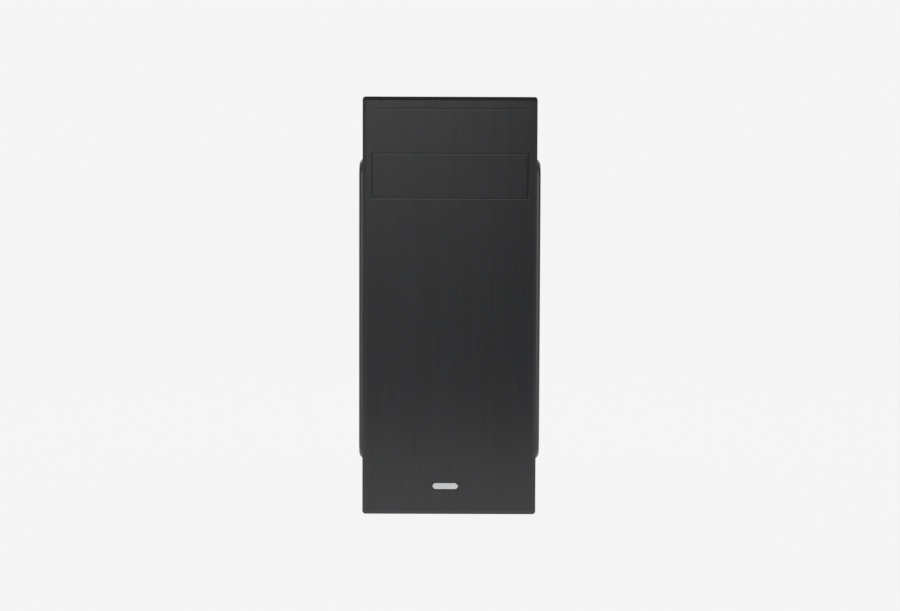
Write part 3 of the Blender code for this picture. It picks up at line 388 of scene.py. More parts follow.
def light_pipe():
    """Clear plastic that lets part of the light through."""
    paint = Paint("light_pipe_lens", (0.55, 0.66, 0.80), 0.12, **{"Transmission Weight": 0.35, "IOR": 1.49})
    cloud = paint.noise(900.0, 2.0)
    paint.set(paint.shader, {"Roughness": paint.remap(cloud, 0.3, 0.7, 0.08, 0.2)})
    return paint.material


BEZEL = brushed_plastic()
PAINT = panel_paint()
STEEL = galvanised()
BLACK = moulded("black_moulded_plastic", (0.014, 0.014, 0.015), 0.42)
SATIN_BLACK = moulded("satin_black_plastic", (0.010, 0.010, 0.011), 0.3, 1800.0, 0.00001)
IVORY = moulded("ivory_nylon", (0.62, 0.59, 0.50), 0.5)
BLUE = moulded("blue_moulded_plastic", (0.012, 0.05, 0.22), 0.42)
NICKEL = brushed_metal("nickel_plate", (0.66, 0.64, 0.60), 0.28, (30.0, 1600.0, 1600.0))
ALUMINIUM = brushed_metal("satin_aluminium", (0.74, 0.75, 0.76), 0.34, (2500.0, 2500.0, 60.0))
SILVER = brushed_metal("badge_silver", (0.72, 0.73, 0.74), 0.26, (40.0, 2500.0, 2500.0))
FOIL = brushed_metal("dull_foil", (0.22, 0.22, 0.23), 0.5, (900.0, 900.0, 900.0), 0.6)
GREEN = circuit_board("green_circuit_board", (0.006, 0.055, 0.022))
RUBBER = rubber()
JACKET = moulded("black_cable_jacket", (0.012, 0.012, 0.012), 0.5, 1200.0)
RED = moulded("red_cable_jacket", (0.36, 0.012, 0.012), 0.48, 1200.0)
LENS = light_pipe()
FOAM = moulded("black_filter_foam", (0.006, 0.006, 0.006), 0.95, 700.0, 0.0004)
GOLD = brushed_metal("gold_contact", (0.80, 0.58, 0.22), 0.25, (1500.0, 1500.0, 1500.0))
FERRITE = moulded("grey_ferrite", (0.05, 0.05, 0.055), 0.6, 900.0, 0.00004)
BLUE_DARK = moulded("dark_blue_sleeve", (0.008, 0.012, 0.045), 0.28, 900.0, 0.00001)
GREEN_PLASTIC = moulded("lime_green_plastic", (0.10, 0.42, 0.08), 0.42)
PINK_PLASTIC = moulded("pink_plastic", (0.62, 0.16, 0.22), 0.42)
YELLOW = moulded("yellow_lead", (0.66, 0.44, 0.02), 0.46, 1200.0)
ORANGE = moulded("orange_lead", (0.62, 0.17, 0.01), 0.46, 1200.0)

FINISH = {
    "bezel_plastic": BEZEL,
    "black_paint": PAINT,
    "black_plastic": BLACK,
    "zinc_steel": STEEL,
    "nickel": NICKEL,
    "aluminium": ALUMINIUM,
    "rubber": RUBBER,
    "circuit_green": GREEN,
    "socket_ivory": IVORY,
    "slot_blue": BLUE,
    "cable_black": JACKET,
    "cable_red": RED,
    "led_lens": LENS,
}


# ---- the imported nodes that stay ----


def dress_packed_nodes():
    """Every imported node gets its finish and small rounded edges."""
    for name, obj in NODES.items():
        obj.data.materials.clear()
        obj.data.materials.append(FINISH[SLOT_OF[name]])
        weld = obj.modifiers.new("weld", "WELD")
        weld.merge_threshold = 0.01 * MM
        soften(obj, 0.2, 35)
        smooth(obj, 35)


# ---- front ----

CHAMFER_ACROSS, CHAMFER_BACK = 3.5, 1.6
LIP_ACROSS, LIP_BACK = 1.1, 0.22  # the slope on the edges that face up, round the bay and the groove
WALL, TOP_WALL = 2.5, 4.5
BAY_GAP = 0.45
BOSS_X, BOSS_Z = 75.5, (48.0, 200.0, 366.0)
RECESS = (-66.0, -174.0), (66.0, -150.0)  # the sunk panel of the front controls
GRIP = (-40.0, -171.0), (40.0, -150.0)  # the notch under the bezel
VENT_Y, VENT_BOTTOMS = (-171.0, -152.0), range(70, 190, 10)
JACK_INSET = 5.5


def edge_rings(u, v, face_y, outwards):
    """Rings from the face back: a slope on the edge that faces up, and the others just broken.
    An opening grows at the face; a block shrinks."""
    rings = []
    for depth, across in ((0.0, 0.25), (0.07, 0.07), (LIP_BACK, 0.0)):
        edge = outwards * across
        lip = outwards * LIP_ACROSS * (1 - depth / LIP_BACK)
        top, bottom = (edge, lip) if outwards > 0 else (lip, edge)
        corners = ((u[1] + edge, v[1] + top), (u[0] - edge, v[1] + top))
        corners += ((u[0] - edge, v[0] - bottom), (u[1] + edge, v[0] - bottom))
        rings.append([(a, face_y + depth, b) for a, b in corners])
    return rings


def add_sloped_mouth(bm, u, v, face_y, depth):
    """A cutter for an opening in the front, with a slope on the edge that faces up."""
    rings = edge_rings(u, v, face_y, 1)
    front = [(x, face_y - 1.0, z) for x, _, z in rings[0]]
    back = [(x, face_y + depth, z) for x, _, z in rings[-1]]
    add_loft(bm, [front, *rings, back])


def make_bezel():
    low, high = box_of("front_bezel")
    cover_low, cover_high = box_of("bay_cover")
    badge_low, badge_high = box_of("badge")
    back = box_of("front_plate")[0].y - 0.3
    rings = []
    for y, inset in ((back, 0.0), (low.y + CHAMFER_BACK, 0.0), (low.y, CHAMFER_ACROSS)):
        across, up = (low.x + inset, high.x - inset), (low.z + inset, high.z - inset)
        outline = rounded_outline(across, up, max(3.0 - inset, 0.8), 12)
        rings.append([(u, y, v) for u, v in outline])
    shell = bmesh.new()
    add_loft(shell, rings)
    bezel = mesh_object("bezel_shell", shell)
    inside = (low.x + WALL, low.y + WALL, low.z + WALL), (high.x - WALL, back + 1, high.z - TOP_WALL)
    combine(bezel, blocks(inside, rounding=1.2))

    left, right = cover_low.x - BAY_GAP, cover_high.x + BAY_GAP
    bottom, top = cover_low.z - BAY_GAP, cover_high.z + BAY_GAP
    collar = blocks(((left - 2, low.y + 2, bottom - 2), (right + 2, low.y + 16.5, top + 2)))
    for side in (-1, 1):
        for z in BOSS_Z:
            add_block(collar, (side * BOSS_X, -160.0, z - 4), (side * (high.x - 1), back - 0.7, z + 4))
    combine(bezel, collar, "UNION")

    openings = bmesh.new()
    groove = 2 * top - bottom - 1.0
    add_sloped_mouth(openings, (left, right), (bottom, top), low.y, 24.0)
    add_sloped_mouth(openings, (left, right), (groove, groove + 0.5), low.y, 1.2)
    seat_low = (badge_low.x - 0.3, low.y - 1, badge_low.z - 0.3)
    add_block(openings, seat_low, (badge_high.x + 0.3, low.y + 0.7, badge_high.z + 0.3))
    add_block(openings, (*RECESS[0], high.z - 2.0), (*RECESS[1], high.z + 5))
    add_block(openings, (*GRIP[0], 0.0), (*GRIP[1], 6.0))
    for side in (-1, 1):
        for z in VENT_BOTTOMS:
            near, far = (side * (high.x - 4), VENT_Y[0], z), (side * (high.x + 2), VENT_Y[1], z + 5.0)
            add_block(openings, near, far, 1.2)
    combine(bezel, openings)

    ledge, stops = bmesh.new(), bmesh.new()
    front, rear = low.y + 13.6, low.y + 15.2
    middle = (bottom + top) / 2
    for z, inward in ((bottom - 1.0, 3.2), (top + 1.0, -3.2)):
        add_block(ledge, (left - 1, front, z), (right + 1, rear, z + inward))
    combine(bezel, ledge, "UNION")
    for x, inward in ((left - 1.0, 3.2), (right + 1.0, -3.2)):
        for start, end in ((bottom + 1.0, middle - 9.6), (middle + 9.6, top - 1.0)):
            add_block(stops, (x, front + 0.2, start), (x + inward, rear - 0.2, end))
    combine(bezel, stops, "UNION")

    start, end = high.z - TOP_WALL - 3, high.z + 3
    jack_low, jack_high = box_of("audio_jacks")
    jack_y = (jack_low.y + jack_high.y) / 2
    round_holes = [(middle_of("power_button").xy, 7.0, 40), (middle_of("reset_button").xy, 2.9, 40)]
    round_holes += [(middle_of(f"{word}_light_pipe").xy, 1.7, 24) for word in ("power", "disk")]
    round_holes += [((x, jack_y), 3.6, 32) for x in (jack_low.x + JACK_INSET, jack_high.x - JACK_INSET)]
    holes = bmesh.new()
    for centre, radius, segments in round_holes:
        add_turned(holes, "Z", centre, [(radius, start), (radius, end)], segments)
    for node in ("front_usb_port_1", "front_usb_port_2"):
        (x0, y0, _), (x1, y1, _) = box_of(node)
        add_block(holes, (x0 - 0.4, y0 - 0.35, start), (x1 + 0.4, y1 + 0.35, end))
    combine(bezel, holes)
    soften(bezel, 0.25, 30)
    settle(bezel)
    finish_piece(bezel, BEZEL, "front_bezel", ["front_bezel"], 10)


def make_dust_filters():
    """A sheet of black foam behind the intake slots on each side of the bezel."""
    wall = box_of("front_bezel")[1].x - WALL - 0.1
    outline = rounded_outline((-172.5, -150.5), (66.0, 189.0), 2.0, 4)
    for word, side in (("left", -1), ("right", 1)):
        bm = bmesh.new()
        add_slab(bm, "X", outline, *sorted((side * wall, side * (wall - 2.2))))
        piece(f"dust_filter_{word}", bm, FOAM, "front_bezel")


def make_bay_cover():
    low, high = box_of("bay_cover")
    back, middle = low.y + 13.0, (low.z + high.z) / 2
    shell = bmesh.new()
    rings = edge_rings((low.x, high.x), (low.z, high.z), low.y, -1)
    add_loft(shell, [*rings, [(x, back, z) for x, _, z in rings[-1]]])
    cover = mesh_object("bay_cover_shell", shell)
    combine(cover, blocks(((low.x + 1.6, low.y + 2.2, low.z + 1.6), (high.x - 1.6, back + 2, high.z - 1.6))))
    sides = (low.x + 0.2, high.x - 1.4)
    tongues = [((x, back - 4, middle - 9), (x + 1.2, high.y, middle + 9)) for x in sides]
    combine(cover, blocks(*tongues), "UNION")
    finish_piece(cover, BEZEL, "bay_cover", ["bay_cover"], 10)


def make_badge():
    """A plain bar with round ends and a rounded face."""
    low, high = box_of("badge")
    reach_x, reach_z = (high.x - low.x) / 2, (high.z - low.z) / 2
    x, z = (low.x + high.x) / 2, (low.z + high.z) / 2
    outline = rounded_outline((low.x, high.x), (low.z, high.z), reach_z - 0.01, 10)
    rings = []
    for y, inset in ((high.y, 0.0), (low.y + 0.35, 0.0), (low.y + 0.1, 0.12), (low.y, 0.45)):
        narrow, short = 1 - inset / reach_x, 1 - inset / reach_z
        rings.append([(x + (u - x) * narrow, y, z + (v - z) * short) for u, v in outline])
    bm = bmesh.new()
    add_loft(bm, rings)
    piece("badge_bar", bm, SILVER, "badge", ["badge"], 60)


# ---- side panels ----

BULGE_Y, BULGE_Z = (-112.0, 140.0), (40.3, 348.7)
BULGE_HEIGHT, BULGE_RUN, BULGE_CORNER, BULGE_STEPS = 8.0, 10.0, 18.0, 14
HALF_WIDTH = 90.0
VENT_ROWS = ((235.0, 32.0), (100.0, 20.0))  # middle and half height of each row in the left panel


def bulge_profile():
    """(height, inset) up the side of the raised field: a tight round foot and a long round shoulder."""
    places = [k / BULGE_STEPS for k in range(BULGE_STEPS + 1)]
    return [(BULGE_HEIGHT * (1 - (1 - t**1.35) ** 2.6), BULGE_RUN * t) for t in places]


def make_side_panel(word, side):
    """A sheet with a raised field and a flange at its rear, drawn as one skin and then given thickness."""
    node = f"{word}_side_panel"
    low, high = box_of(node)
    flat = side * (HALF_WIDTH - BULGE_HEIGHT)
    bm = bmesh.new()
    rings = []
    for height, inset in bulge_profile():
        y, z = (BULGE_Y[0] + inset, BULGE_Y[1] - inset), (BULGE_Z[0] + inset, BULGE_Z[1] - inset)
        outline = rounded_outline(y, z, BULGE_CORNER - inset * 0.6, BULGE_STEPS)
        rings.append([(flat + side * height, u, v) for u, v in outline])
    made = add_loft(bm, rings, caps=False)
    bm.faces.new(made[-1])
    corners = ((high.y, high.z), (low.y, high.z), (low.y, low.z), (high.y, low.z))
    rim = [bm.verts.new((flat, y, z)) for y, z in corners]
    ring, per_corner = made[0], BULGE_STEPS + 1
    for k in range(4):
        arc = ring[k * per_corner : (k + 1) * per_corner]
        following = ring[((k + 1) * per_corner) % len(ring)]
        for a, b in zip(arc, arc[1:]):
            bm.faces.new((rim[k], b, a))
        bm.faces.new((rim[k], rim[(k + 1) % 4], following, arc[-1]))
    inward = low.x if side > 0 else high.x
    flange = [bm.verts.new((inward, high.y, z)) for z in (high.z, low.z)]
    bm.faces.new((rim[0], rim[3], flange[1], flange[0]))
    bmesh.ops.recalc_face_normals(bm, faces=bm.faces)
    field = max(bm.faces, key=lambda f: abs(f.calc_center_median().x))
    if field.normal.x * side < 0:
        bmesh.ops.reverse_faces(bm, faces=bm.faces)
    panel = raw_object(f"{node}_skin", bm)
    solid = panel.modifiers.new("sheet", "SOLIDIFY")
    solid.thickness = MM
    solid.offset = -1.0
    solid.use_even_offset = True
    settle(panel)
    holes = bmesh.new()
    for level in ("lower", "upper"):
        middle = middle_of(f"thumbscrew_{word}_{level}")
        add_turned(holes, "Y", middle.xz, [(2.2, high.y - 3), (2.2, high.y + 3)], 24)
    if side < 0:
        for middle_z, half in VENT_ROWS:
            for y in range(54, 119, 8):
                outline = rounded_outline((y - 1.8, y + 1.8), (middle_z - half, middle_z + half), 1.7, 4)
                add_slab(holes, "X", outline, low.x - 2, low.x + 4)
    combine(panel, holes)
    soften(panel, 0.25, 35)
    settle(panel)
    finish_piece(panel, PAINT, node, [node], 30)


# ---- small parts used in several places ----


def cross_outline(centre, reach, half):
    """The outline of a plus sign."""
    quarter = [(reach, -half), (reach, half), (half, half)]
    points = []
    for k in range(4):
        for u, v in quarter:
            for _ in range(k):
                u, v = -v, u
            points.append((centre[0] + u, centre[1] + v))
    return points


def make_screws(name, axis, places, radius, height, node):
    """Pan-head screws with cross recesses; a negative height points the heads down the axis."""
    heads, crosses = bmesh.new(), bmesh.new()
    for u, v, w in places:
        profile = [(1.0, 0.0), (1.0, 0.35), (0.82, 0.8), (0.45, 1.0)]
        add_turned(heads, axis, (u, v), [(radius * r, w + height * h) for r, h in profile], 20)
        cross = cross_outline((u, v), radius * 0.62, radius * 0.13)
        add_slab(crosses, axis, cross, w + height * 0.35, w + height * 1.3)
    screws = mesh_object(name, heads)
    combine(screws, crosses)
    finish_piece(screws, NICKEL, node)


def make_wire(name, route, diameter, material, node, replaces=()):
    """A round wire on a smooth curve through its route, in millimetres."""
    curve = bpy.data.curves.new(name, "CURVE")
    curve.dimensions = "3D"
    curve.bevel_depth = diameter / 2 * MM
    curve.bevel_resolution = 2
    curve.resolution_u = 8
    curve.use_fill_caps = True
    spline = curve.splines.new("BEZIER")
    spline.bezier_points.add(len(route) - 1)
    for point, place in zip(spline.bezier_points, route):
        point.co = Vector(place) * MM
        point.handle_left_type = point.handle_right_type = "AUTO"
    curve.materials.append(material)
    attach(link(name, curve), node, replaces)


def usb_port(node, place):
    """A USB socket in its own axes: a along it, b across it, c outwards with the mouth at 0."""
    shell = blocks((place(-6.5, -2.85, -12.0), place(6.5, 2.85, 0.0)), rounding=0.4)
    case = mesh_object(f"{node}_shell", shell)
    combine(case, blocks((place(-6.1, -2.5, -11.5), place(6.1, 2.5, 1.0)), rounding=0.3))
    tongue = blocks((place(-5.5, 0.3, -11.4), place(5.5, 2.0, -0.8)), rounding=0.15)
    middles = [-3.5 + 7.0 / 3 * k for k in range(4)]
    contacts = blocks(*((place(a - 0.5, 0.1, -11.0), place(a + 0.5, 0.32, -1.4)) for a in middles))
    springs = [(place(a - 0.9, -2.5, -8.0), place(a + 0.9, -2.1, -3.0)) for a in (-3.4, 3.4)]
    piece(f"{node}_springs", blocks(*springs, rounding=0.15), NICKEL, node)
    piece(f"{node}_tongue", tongue, IVORY, node)
    piece(f"{node}_contacts", contacts, GOLD, node)
    finish_piece(case, NICKEL, node, [node])


# ---- feet, thumbscrews and front controls ----

KNURLS = 44
BOARD_THICKNESS = 1.6


def make_feet():
    """Hollow feet with moulded ribs, each held by a screw seen from below."""
    for node in ("foot_front_left", "foot_front_right", "foot_rear_left", "foot_rear_right"):
        low, high = box_of(node)
        middle = (low + high) / 2
        radius = (high.x - low.x) / 2
        profile = [(3.4, 4.0), (3.4, 0.6), (4.0, 0.0), (8.6, 0.0), (9.4, 0.5), (radius - 0.5, 8.6)]
        profile += [(radius, 9.2), (radius, high.z), (2.0, high.z), (2.0, 4.0)]
        bm = bmesh.new()
        add_turned(bm, "Z", middle.xy, profile, 40, closed=True)
        for u, v in circle(middle.xy, radius - 1.4, 12):
            add_block(bm, (u - 0.5, v - 0.5, 4.4), (u + 0.5, v + 0.5, high.z - 0.4), 0.2)
        piece(f"{node}_rubber", bm, RUBBER, node, [node], 40)
        make_screws(f"{node}_screw", "Z", [(middle.x, middle.y, 6.2)], 3.0, -2.0, node)


def make_thumbscrews():
    """Knurled heads with a cross recess, and threaded shanks."""
    for word, level in (("left", "lower"), ("left", "upper"), ("right", "lower"), ("right", "upper")):
        node = f"thumbscrew_{word}_{level}"
        low, high = box_of(node)
        centre = ((low.x + high.x) / 2, (low.z + high.z) / 2)
        radius = (high.x - low.x) / 2
        collar = high.y - 8.4
        start, end = collar + 1.2, high.y
        rings = []
        for w, inset in ((start, 0.6), (start + 0.5, 0.0), (end - 0.9, 0.0), (end, 0.9)):
            ring = []
            for k in range(KNURLS * 2):
                r = radius - inset - (0.35 if k % 2 else 0.0)
                turn = math.pi * k / KNURLS
                ring.append((centre[0] + r * math.cos(turn), w, centre[1] + r * math.sin(turn)))
            rings.append(ring)
        head, dish, recess, shank = (bmesh.new() for _ in range(4))
        add_loft(head, rings)
        screw = mesh_object(f"{node}_head", head)
        add_turned(dish, "Y", centre, [(4.2, high.y - 0.5), (4.4, high.y + 1)], 32)
        add_slab(recess, "Y", cross_outline(centre, 3.3, 0.6), high.y - 2.4, high.y + 1)
        combine(screw, dish)
        combine(screw, recess)
        finish_piece(screw, NICKEL, node, [node], 25)
        profile = [(1.2, low.y), (1.75, low.y + 0.8)]
        for k in range(5):
            profile += [(1.75, low.y + 1.2 + k), (1.45, low.y + 1.6 + k)]
        profile += [(1.75, collar - 1.2), (1.75, collar), (4.6, collar), (4.6, collar + 1.3)]
        add_turned(shank, "Y", centre, profile, 20)
        piece(f"{node}_shank", shank, NICKEL, node)


def make_front_controls():
    """Caps, rings, light pipes and sockets on the bezel's top, and the board that they stand on."""
    floor = box_of("front_bezel")[1].z - 2.0
    for node, radius in (("power_button", 6.6), ("reset_button", 2.5)):
        low, high = box_of(node)
        middle = (low + high) / 2
        wall = floor - 2.5
        profile = [(radius * 0.4, low.z), (radius * 0.4, wall - 3.6), (radius + 1.1, wall - 3.6)]
        profile += [(radius + 1.1, wall - 0.6), (radius, wall - 0.6), (radius, high.z - 0.5)]
        profile += [(radius - 0.15, high.z - 0.15), (radius - 0.5, high.z), (radius - 0.9, high.z - 0.05)]
        steps = (0.0, 0.25, 0.5, 0.75, 0.97)
        dish = [(radius * 0.7 * (1 - t), high.z - 0.3 - 0.35 * t * (2 - t)) for t in steps]
        bm = bmesh.new()
        add_turned(bm, "Z", middle.xy, profile + dish, 48)
        piece(f"{node}_cap", bm, SATIN_BLACK, node, [node], 50)
        ring = bmesh.new()
        inner = 7.1 if node == "power_button" else 3.0
        profile = [(inner, floor - 1.0), (inner, floor + 0.35), (inner + 0.25, floor + 0.6)]
        profile += [(inner + 0.9, floor + 0.6), (inner + 1.15, floor + 0.3), (inner + 1.15, floor + 0.05)]
        add_turned(ring, "Z", middle.xy, profile + [(inner + 0.3, floor - 1.0)], 48, closed=True)
        piece(f"{node}_ring", ring, FOIL, "front_bezel", (), 40)
    for node in ("power_light_pipe", "disk_light_pipe"):
        low, high = box_of(node)
        middle = (low + high) / 2
        top = high.z
        profile = [(1.3, low.z), (1.4, top - 0.9), (1.25, top - 0.5), (0.95, top - 0.15), (0.4, top)]
        bm = bmesh.new()
        add_turned(bm, "Z", middle.xy, profile, 24)
        piece(f"{node}_lens", bm, LENS, node, [node], 60)
    for node in ("front_usb_port_1", "front_usb_port_2"):
        low, high = box_of(node)
        middle = (low + high) / 2
        usb_port(node, lambda a, b, c: (middle.x + a, middle.y + b, high.z + c))
    low, high = box_of("audio_jacks")
    middle = (low + high) / 2
    for k, x in enumerate((low.x + JACK_INSET, high.x - JACK_INSET), start=1):
        ring = bmesh.new()
        offsets = ((1.85, -3.0), (1.85, 0.0), (2.1, 0.25), (2.9, 0.25), (3.15, 0.05), (3.15, -0.3))
        add_turned(ring, "Z", (x, middle.y), [(r, high.z + w) for r, w in offsets], 32, True)
        piece(f"front_jack_ring_{k}", ring, (GREEN_PLASTIC, PINK_PLASTIC)[k - 1], "audio_jacks", (), 40)
    low, high = box_of("front_io_board")
    switches, headers = bmesh.new(), bmesh.new()
    face = low.z + BOARD_THICKNESS
    for node in ("power_button", "reset_button"):
        x, y = middle_of(node)[:2]
        add_block(switches, (x - 3, y - 3, face), (x + 3, y + 3, face + 1.9), 0.3)
        add_turned(switches, "Z", (x, y), [(1.7, face + 1.9), (1.7, high.z)], 20)
    for x in (-8.0, 34.0):
        add_block(headers, (x - 5, high.y - 5, low.z - 0.1), (x + 5, high.y - 1, low.z))
        for at in range(5):
            pin = x - 4.3 + 2 * at
            add_block(headers, (pin, high.y - 4, face), (pin + 0.6, high.y - 3.4, face + 1.2))
    board = blocks((low, (high.x, high.y, face)), rounding=0.15)
    piece("front_io_board_sheet", board, GREEN, "front_io_board", ["front_io_board"])
    piece("front_io_switches", switches, BLACK, "front_io_board")
    piece("front_io_solder", headers, NICKEL, "front_io_board")


# ---- fans ----

AXES = {"X": (1, 2, 0), "Y": (0, 2, 1)}  # the two axes across a fan, then the one along it
STRUTS, BLADES = 4, 7


def make_fan(name, axis):
    """A square housing with struts behind, and a wheel of curved, twisted blades."""
    frame_low, frame_high = box_of(f"{name}_frame")
    rotor_low, rotor_high = box_of(f"{name}_rotor")
    iu, iv, iw = AXES[axis]
    centre = ((frame_low[iu] + frame_high[iu]) / 2, (frame_low[iv] + frame_high[iv]) / 2)
    half = (frame_high[iu] - frame_low[iu]) / 2
    near, far = frame_low[iw], frame_high[iw]
    bore = half - 2.5
    hub = half * 0.38
    flange = 3.4
    body, duct = bmesh.new(), bmesh.new()
    spans = [(c - half, c + half) for c in centre]
    outline = rounded_outline(*spans, 4.0, 5)
    for start, end in ((near, near + flange), (far - flange, far)):
        add_slab(body, axis, outline, start, end)
    mouth = [(bore + 0.7, near - 1), (bore + 0.7, near), (bore, near + 2.2), (bore, far + 1)]
    add_turned(duct, axis, centre, mouth, 72)
    hole = half - 4.6
    for su in (-1, 1):
        for sv in (-1, 1):
            place = (centre[0] + su * hole, centre[1] + sv * hole)
            add_turned(duct, axis, place, [(2.1, near - 1), (2.1, far + 1)], 20)
    shell = mesh_object(f"{name}_housing", body)
    combine(shell, duct)
    tube = bmesh.new()
    wall = [(bore, near + 2.0), (bore + 1.7, near + 2.0), (bore + 1.7, far - 2.0), (bore, far - 2.0)]
    add_turned(tube, axis, centre, wall, 72, closed=True)
    root = far - (far - near) * 0.14
    add_turned(tube, axis, centre, [(hub, root), (hub, far - 0.4), (hub - 0.5, far)], 48)
    for k in range(STRUTS):
        sides = ([], [])
        for j in range(7):
            r = hub - 1 + (bore + 2.0 - hub) * j / 6
            turn = math.radians(45 + 90 * k + 14 * math.sin(j / 6 * math.pi / 2))
            for edge, width in zip(sides, (-1.7, 1.7)):
                angle = turn + width / r
                edge.append((centre[0] + r * math.cos(angle), centre[1] + r * math.sin(angle)))
        add_slab(tube, axis, sides[0] + sides[1][::-1], root, far)
    piece(f"{name}_tube", tube, BLACK, f"{name}_frame")
    soften(shell, 0.3, 40)
    settle(shell)
    finish_piece(shell, BLACK, f"{name}_frame", [f"{name}_frame"])
    sticker = bmesh.new()
    add_turned(sticker, axis, centre, [(hub - 3.0, far), (hub - 3.0, far + 0.06)], 40)
    piece(f"{name}_sticker", sticker, FOIL, f"{name}_frame")

    start, end = rotor_low[iw], rotor_high[iw]
    tip = bore - 1.2
    wheel = bmesh.new()
    profile = [(2.0, start), (hub - 2.0, start), (hub - 0.6, start + 0.5), (hub, start + 2.0), (hub, end)]
    add_turned(wheel, axis, centre, profile, 56)
    for k in range(BLADES):
        rings = []
        for j in range(7):
            t = j / 6
            r = hub - 0.6 + (tip - hub + 0.6) * t
            middle = 2 * math.pi * k / BLADES + 0.34 * t * t
            span = math.radians(44 - 6 * t)
            ring = []
            for face in (1, -1):
                for c in (0.0, 0.2, 0.5, 0.8, 1.0)[::face]:
                    thick = (0.35 + 1.1 * math.sin(math.pi * min(1.0, c * 0.85 + 0.1))) * (1 - 0.4 * t)
                    camber = 0.10 * math.sin(math.pi * c) * span
                    angle = middle + (c - 0.5) * span + camber + face * thick / (2 * r)
                    w = start + 1.2 + (end - start - 2.0) * c
                    u, v = centre[0] + r * math.cos(angle), centre[1] + r * math.sin(angle)
                    ring.append(along(axis, u, v, w))
            rings.append(ring)
        add_loft(wheel, rings)
    piece(f"{name}_wheel", wheel, SATIN_BLACK, f"{name}_rotor", [f"{name}_rotor"], 40)


# ---- power supply ----

PIVOT_Y, SWITCH_TURN, SWITCH_HALF = 163.5, math.radians(10.0), 8.6  # the rocker rests tilted


def make_power_supply_details():
    """Case screws, inlet pins, the rocker, a plain label, capacitors and the grommet of the leads."""
    low, high = box_of("psu_cover")
    corners = [(x, z, high.y + 1.3) for x in (low.x + 6, high.x - 6) for z in (low.z + 6, high.z - 6)]
    make_screws("psu_case_screws", "Y", corners, 3.4, 2.2, "rear_panel")
    inlet_low, inlet_high = box_of("mains_inlet")
    x = (inlet_low.x + inlet_high.x) / 2
    pins = bmesh.new()
    for dx, dz in ((-7.0, -2.0), (0.0, 2.0), (7.0, -2.0)):
        z = inlet_low.z + 39.5 + dz
        add_block(pins, (x + dx - 1.1, 151.5, z - 2.1), (x + dx + 1.1, 167.3, z + 2.1), 0.5)
    piece("mains_inlet_pins", pins, NICKEL, "mains_inlet")

    cos, sin = math.cos(SWITCH_TURN), math.sin(SWITCH_TURN)
    half = SWITCH_HALF
    face = [(half * t, 7.2 - 1.3 * (1 - t * t)) for t in (1.0, 0.9, 0.6, 0.3, 0.0, -0.3, -0.6, -0.9, -1.0)]

    def add_tilted(bm, points, start, end):
        """A slab along Z from an outline in the rocker's own axes."""
        outline = [(x + u * cos - v * sin, PIVOT_Y + u * sin + v * cos) for u, v in points]
        add_slab(bm, "Z", outline, start, end)

    body, mark = bmesh.new(), bmesh.new()
    rocker_low, rocker_high = box_of("psu_switch_rocker")
    add_tilted(body, [(-half * 0.8, -3.0), (half * 0.8, -3.0)] + face, rocker_low.z, rocker_high.z)
    rocker = mesh_object("psu_rocker", body)
    soften(rocker, 0.3, 40)
    settle(rocker)
    finish_piece(rocker, SATIN_BLACK, "psu_switch_rocker", ["psu_switch_rocker"])
    middle = (rocker_low.z + rocker_high.z) / 2
    add_tilted(mark, [(-6.3, 6.4), (-5.5, 6.2), (-5.5, 6.62), (-6.3, 6.8)], middle - 2.0, middle + 2.0)
    piece("psu_rocker_mark", mark, IVORY, "psu_switch_rocker")

    label, cans, grommet = bmesh.new(), bmesh.new(), bmesh.new()
    outline = rounded_outline((low.y + 30, high.y - 40), (low.z + 18, high.z - 18), 2.0, 4)
    add_slab(label, "X", outline, low.x - 0.1, low.x)
    piece("psu_plain_label", label, FOIL, "psu_cover")
    board = box_of("psu_circuit")[0]
    sizes = ((-36, 30, 9, 34), (-36, 52, 9, 34), (-8, 88, 6, 22), (20, 88, 6, 22), (44, 40, 5, 20))
    for x, dy, r, h in sizes:
        profile = [(r, board.z + 1.8), (r, board.z + h), (r - 1, board.z + h + 1)]
        add_turned(cans, "Z", (x, board.y + dy), profile, 24)
    piece("psu_capacitors", cans, SATIN_BLACK, "psu_circuit")
    base = box_of("psu_base")[0]
    z = base.z + 13.0
    outline = rounded_outline((-11.6, 11.6), (z - 7.6, z + 7.6), 5.0, 6)
    add_slab(grommet, "Y", outline, base.y - 1.6, base.y + 0.6)
    piece("psu_lead_grommet", grommet, BLACK, "psu_base")


# ---- motherboard and what it carries ----

CARD_PITCH, PIN_PITCH, LEAD_PITCH = 20.32, 2.54, 1.27
PORT_Z = (79.2, 94.2)  # the lower ends of the two drive ports


